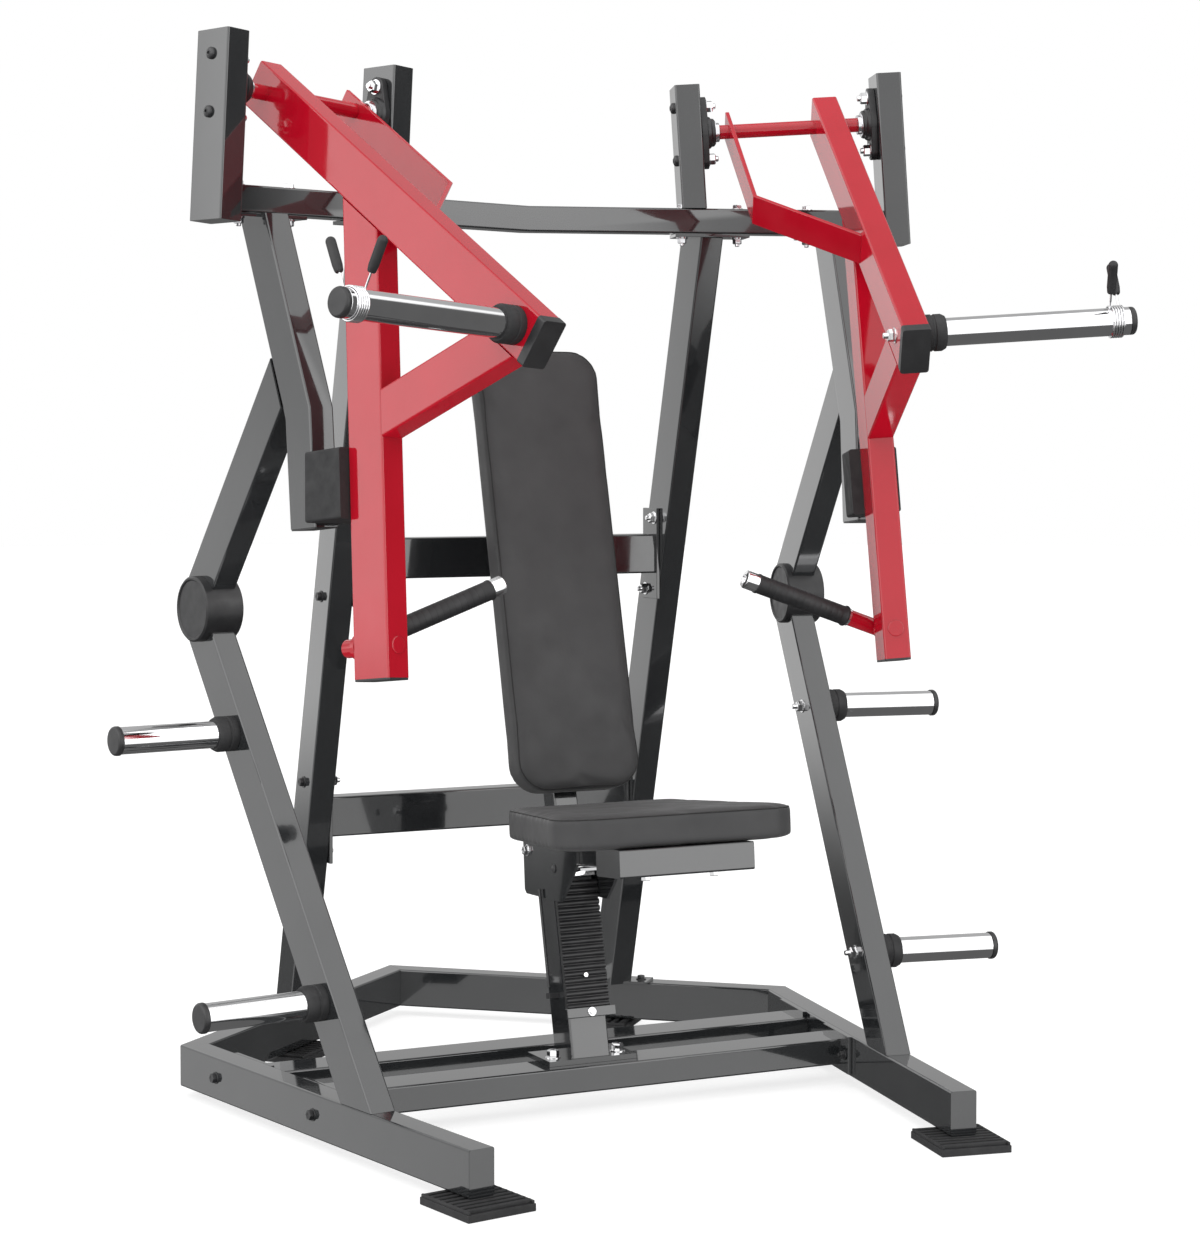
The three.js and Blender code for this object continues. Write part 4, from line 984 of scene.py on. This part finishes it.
class WorldLight:
    """A shader that adds up soft-edged patches of light by direction, for a white studio."""

    def __init__(self, tree):
        self.tree = tree
        where = tree.nodes.new("ShaderNodeTexCoord")
        parts = tree.nodes.new("ShaderNodeSeparateXYZ")
        tree.links.new(where.outputs["Generated"], parts.inputs["Vector"])
        self.axes = parts.outputs
        self.total = None

    def math(self, operation, first, second):
        node = self.tree.nodes.new("ShaderNodeMath")
        node.operation = operation
        for socket, value in zip(node.inputs, (first, second)):
            if isinstance(value, (int, float)):
                socket.default_value = value
            else:
                self.tree.links.new(value, socket)
        return node.outputs[0]

    def edge(self, axis, place, soft, rising):
        remap = self.tree.nodes.new("ShaderNodeMapRange")
        remap.interpolation_type = "SMOOTHSTEP"
        low, high = place - soft, place + soft
        for socket, number in (("From Min", low), ("From Max", high), ("To Min", 0 if rising else 1),
                               ("To Max", 1 if rising else 0)):
            remap.inputs[socket].default_value = number
        self.tree.links.new(self.axes[axis], remap.inputs["Value"])
        return remap.outputs["Result"]

    def patch(self, strength, *limits):
        """Adds light where every limit (axis, lowest or None, highest or None, softness) holds."""
        value = strength
        for axis, low, high, soft in limits:
            if low is not None:
                value = self.math("MULTIPLY", self.edge(axis, low, soft, True), value)
            if high is not None:
                value = self.math("MULTIPLY", self.edge(axis, high, soft, False), value)
        self.total = value if self.total is None else self.math("ADD", self.total, value)


def stage():
    world = bpy.data.worlds.new("studio")
    bpy.context.scene.world = world
    world.use_nodes = True
    tree = world.node_tree
    background = tree.nodes["Background"]
    light = WorldLight(tree)
    light.patch(0.12, ("Z", -2, None, 0.1))
    light.patch(2.2, ("X", None, -0.5, 0.12), ("Y", None, 0.55, 0.08), ("Z", 0.0, None, 0.03))
    light.patch(0.75, ("X", None, -0.5, 0.12), ("Z", -0.5, 0.0, 0.03))
    light.patch(0.6, ("X", None, -0.5, 0.12), ("Y", 0.55, None, 0.08), ("Z", 0.0, None, 0.03))
    light.patch(2.5, ("X", 0.15, 0.72, 0.06), ("Y", None, -0.2, 0.15), ("Z", -0.07, 0.55, 0.03))
    light.patch(1.2, ("X", -0.5, 0.15, 0.06), ("Y", None, -0.2, 0.15), ("Z", -0.07, 0.55, 0.03))
    light.patch(1.6, ("X", -0.5, 0.8, 0.12), ("Y", None, 0.1, 0.15), ("Z", 0.55, None, 0.03))
    light.patch(1.3, ("X", -0.5, 0.72, 0.06), ("Y", None, -0.2, 0.15), ("Z", -0.4, -0.07, 0.03))
    light.patch(0.9, ("X", -0.5, 0.15, 0.12), ("Y", 0.2, None, 0.2), ("Z", -0.12, None, 0.04))
    light.patch(0.35, ("X", 0.15, None, 0.12), ("Y", 0.0, None, 0.3), ("Z", 0.0, None, 0.05))
    path = tree.nodes.new("ShaderNodeLightPath")
    seen = light.math("MULTIPLY", path.outputs["Is Camera Ray"], 1.0)
    hidden = light.math("SUBTRACT", 1.0, path.outputs["Is Camera Ray"])
    soft = light.math("SUBTRACT", 1.0, light.math("MULTIPLY", path.outputs["Is Diffuse Ray"], 0.56))
    lit = light.math("MULTIPLY", light.math("MULTIPLY", light.total, hidden), soft)
    strength = light.math("ADD", seen, lit)
    tree.links.new(strength, background.inputs["Strength"])
    background.inputs["Color"].default_value = (1, 1, 1, 1)
    floor = bpy.data.meshes.new("floor")
    shape = bmesh.new()
    bmesh.ops.create_circle(shape, cap_ends=True, segments=96, radius=30)
    shape.to_mesh(floor)
    shape.free()
    floor_object = bpy.data.objects.new("floor", floor)
    bpy.context.scene.collection.objects.link(floor_object)
    floor_object.location.z = -0.5 * MM
    material, tree, shader = node_material("pale_floor")
    shader.inputs["Roughness"].default_value = 0.9
    shader.inputs["Specular IOR Level"].default_value = 0.1
    shader.inputs["Emission Color"].default_value = (1, 1, 1, 1)
    shader.inputs["Emission Strength"].default_value = 0.75
    mottle(tree, shader, noise(tree, 3, 3), (0.48, 0.48, 0.48), (0.5, 0.5, 0.5))
    floor.materials.append(material)
    floor_object.visible_glossy = False
    for name, place, target, size, power in (
            ("key", (-3.2, -3.6, 4.2), (0, 0, 0.9), 2.6, 50),
            ("top", (0, 0.4, 4.6), (0, 0, 0), 3.2, 50)):
        light = bpy.data.lights.new(name, "AREA")
        light.shape = "SQUARE"
        light.size = size
        light.energy = power
        lamp = bpy.data.objects.new(name, light)
        lamp.location = place
        lamp.visible_glossy = False
        lamp.rotation_euler = (Vector(place) - Vector(target)).to_track_quat("Z", "Y").to_euler()
        bpy.context.scene.collection.objects.link(lamp)
    bpy.context.scene.view_settings.view_transform = "Standard"


def camera():
    data = bpy.data.cameras.new("camera")
    data.sensor_fit = "HORIZONTAL"
    data.sensor_width = 36
    data.lens = 84.66
    data.shift_x = -0.0100
    data.shift_y = -0.0447
    data.clip_end = 100
    viewer = bpy.data.objects.new("camera", data)
    azimuth, pitch = math.radians(-26.097), math.radians(2.412)
    level = math.cos(pitch)
    back = Vector((math.sin(azimuth) * level, -math.cos(azimuth) * level, math.sin(pitch)))
    viewer.rotation_euler = back.to_track_quat("Z", "Y").to_euler()
    viewer.location = at(-2299, -4953.6, 1257.6)
    bpy.context.scene.collection.objects.link(viewer)
    bpy.context.scene.camera = viewer


stage()
camera()
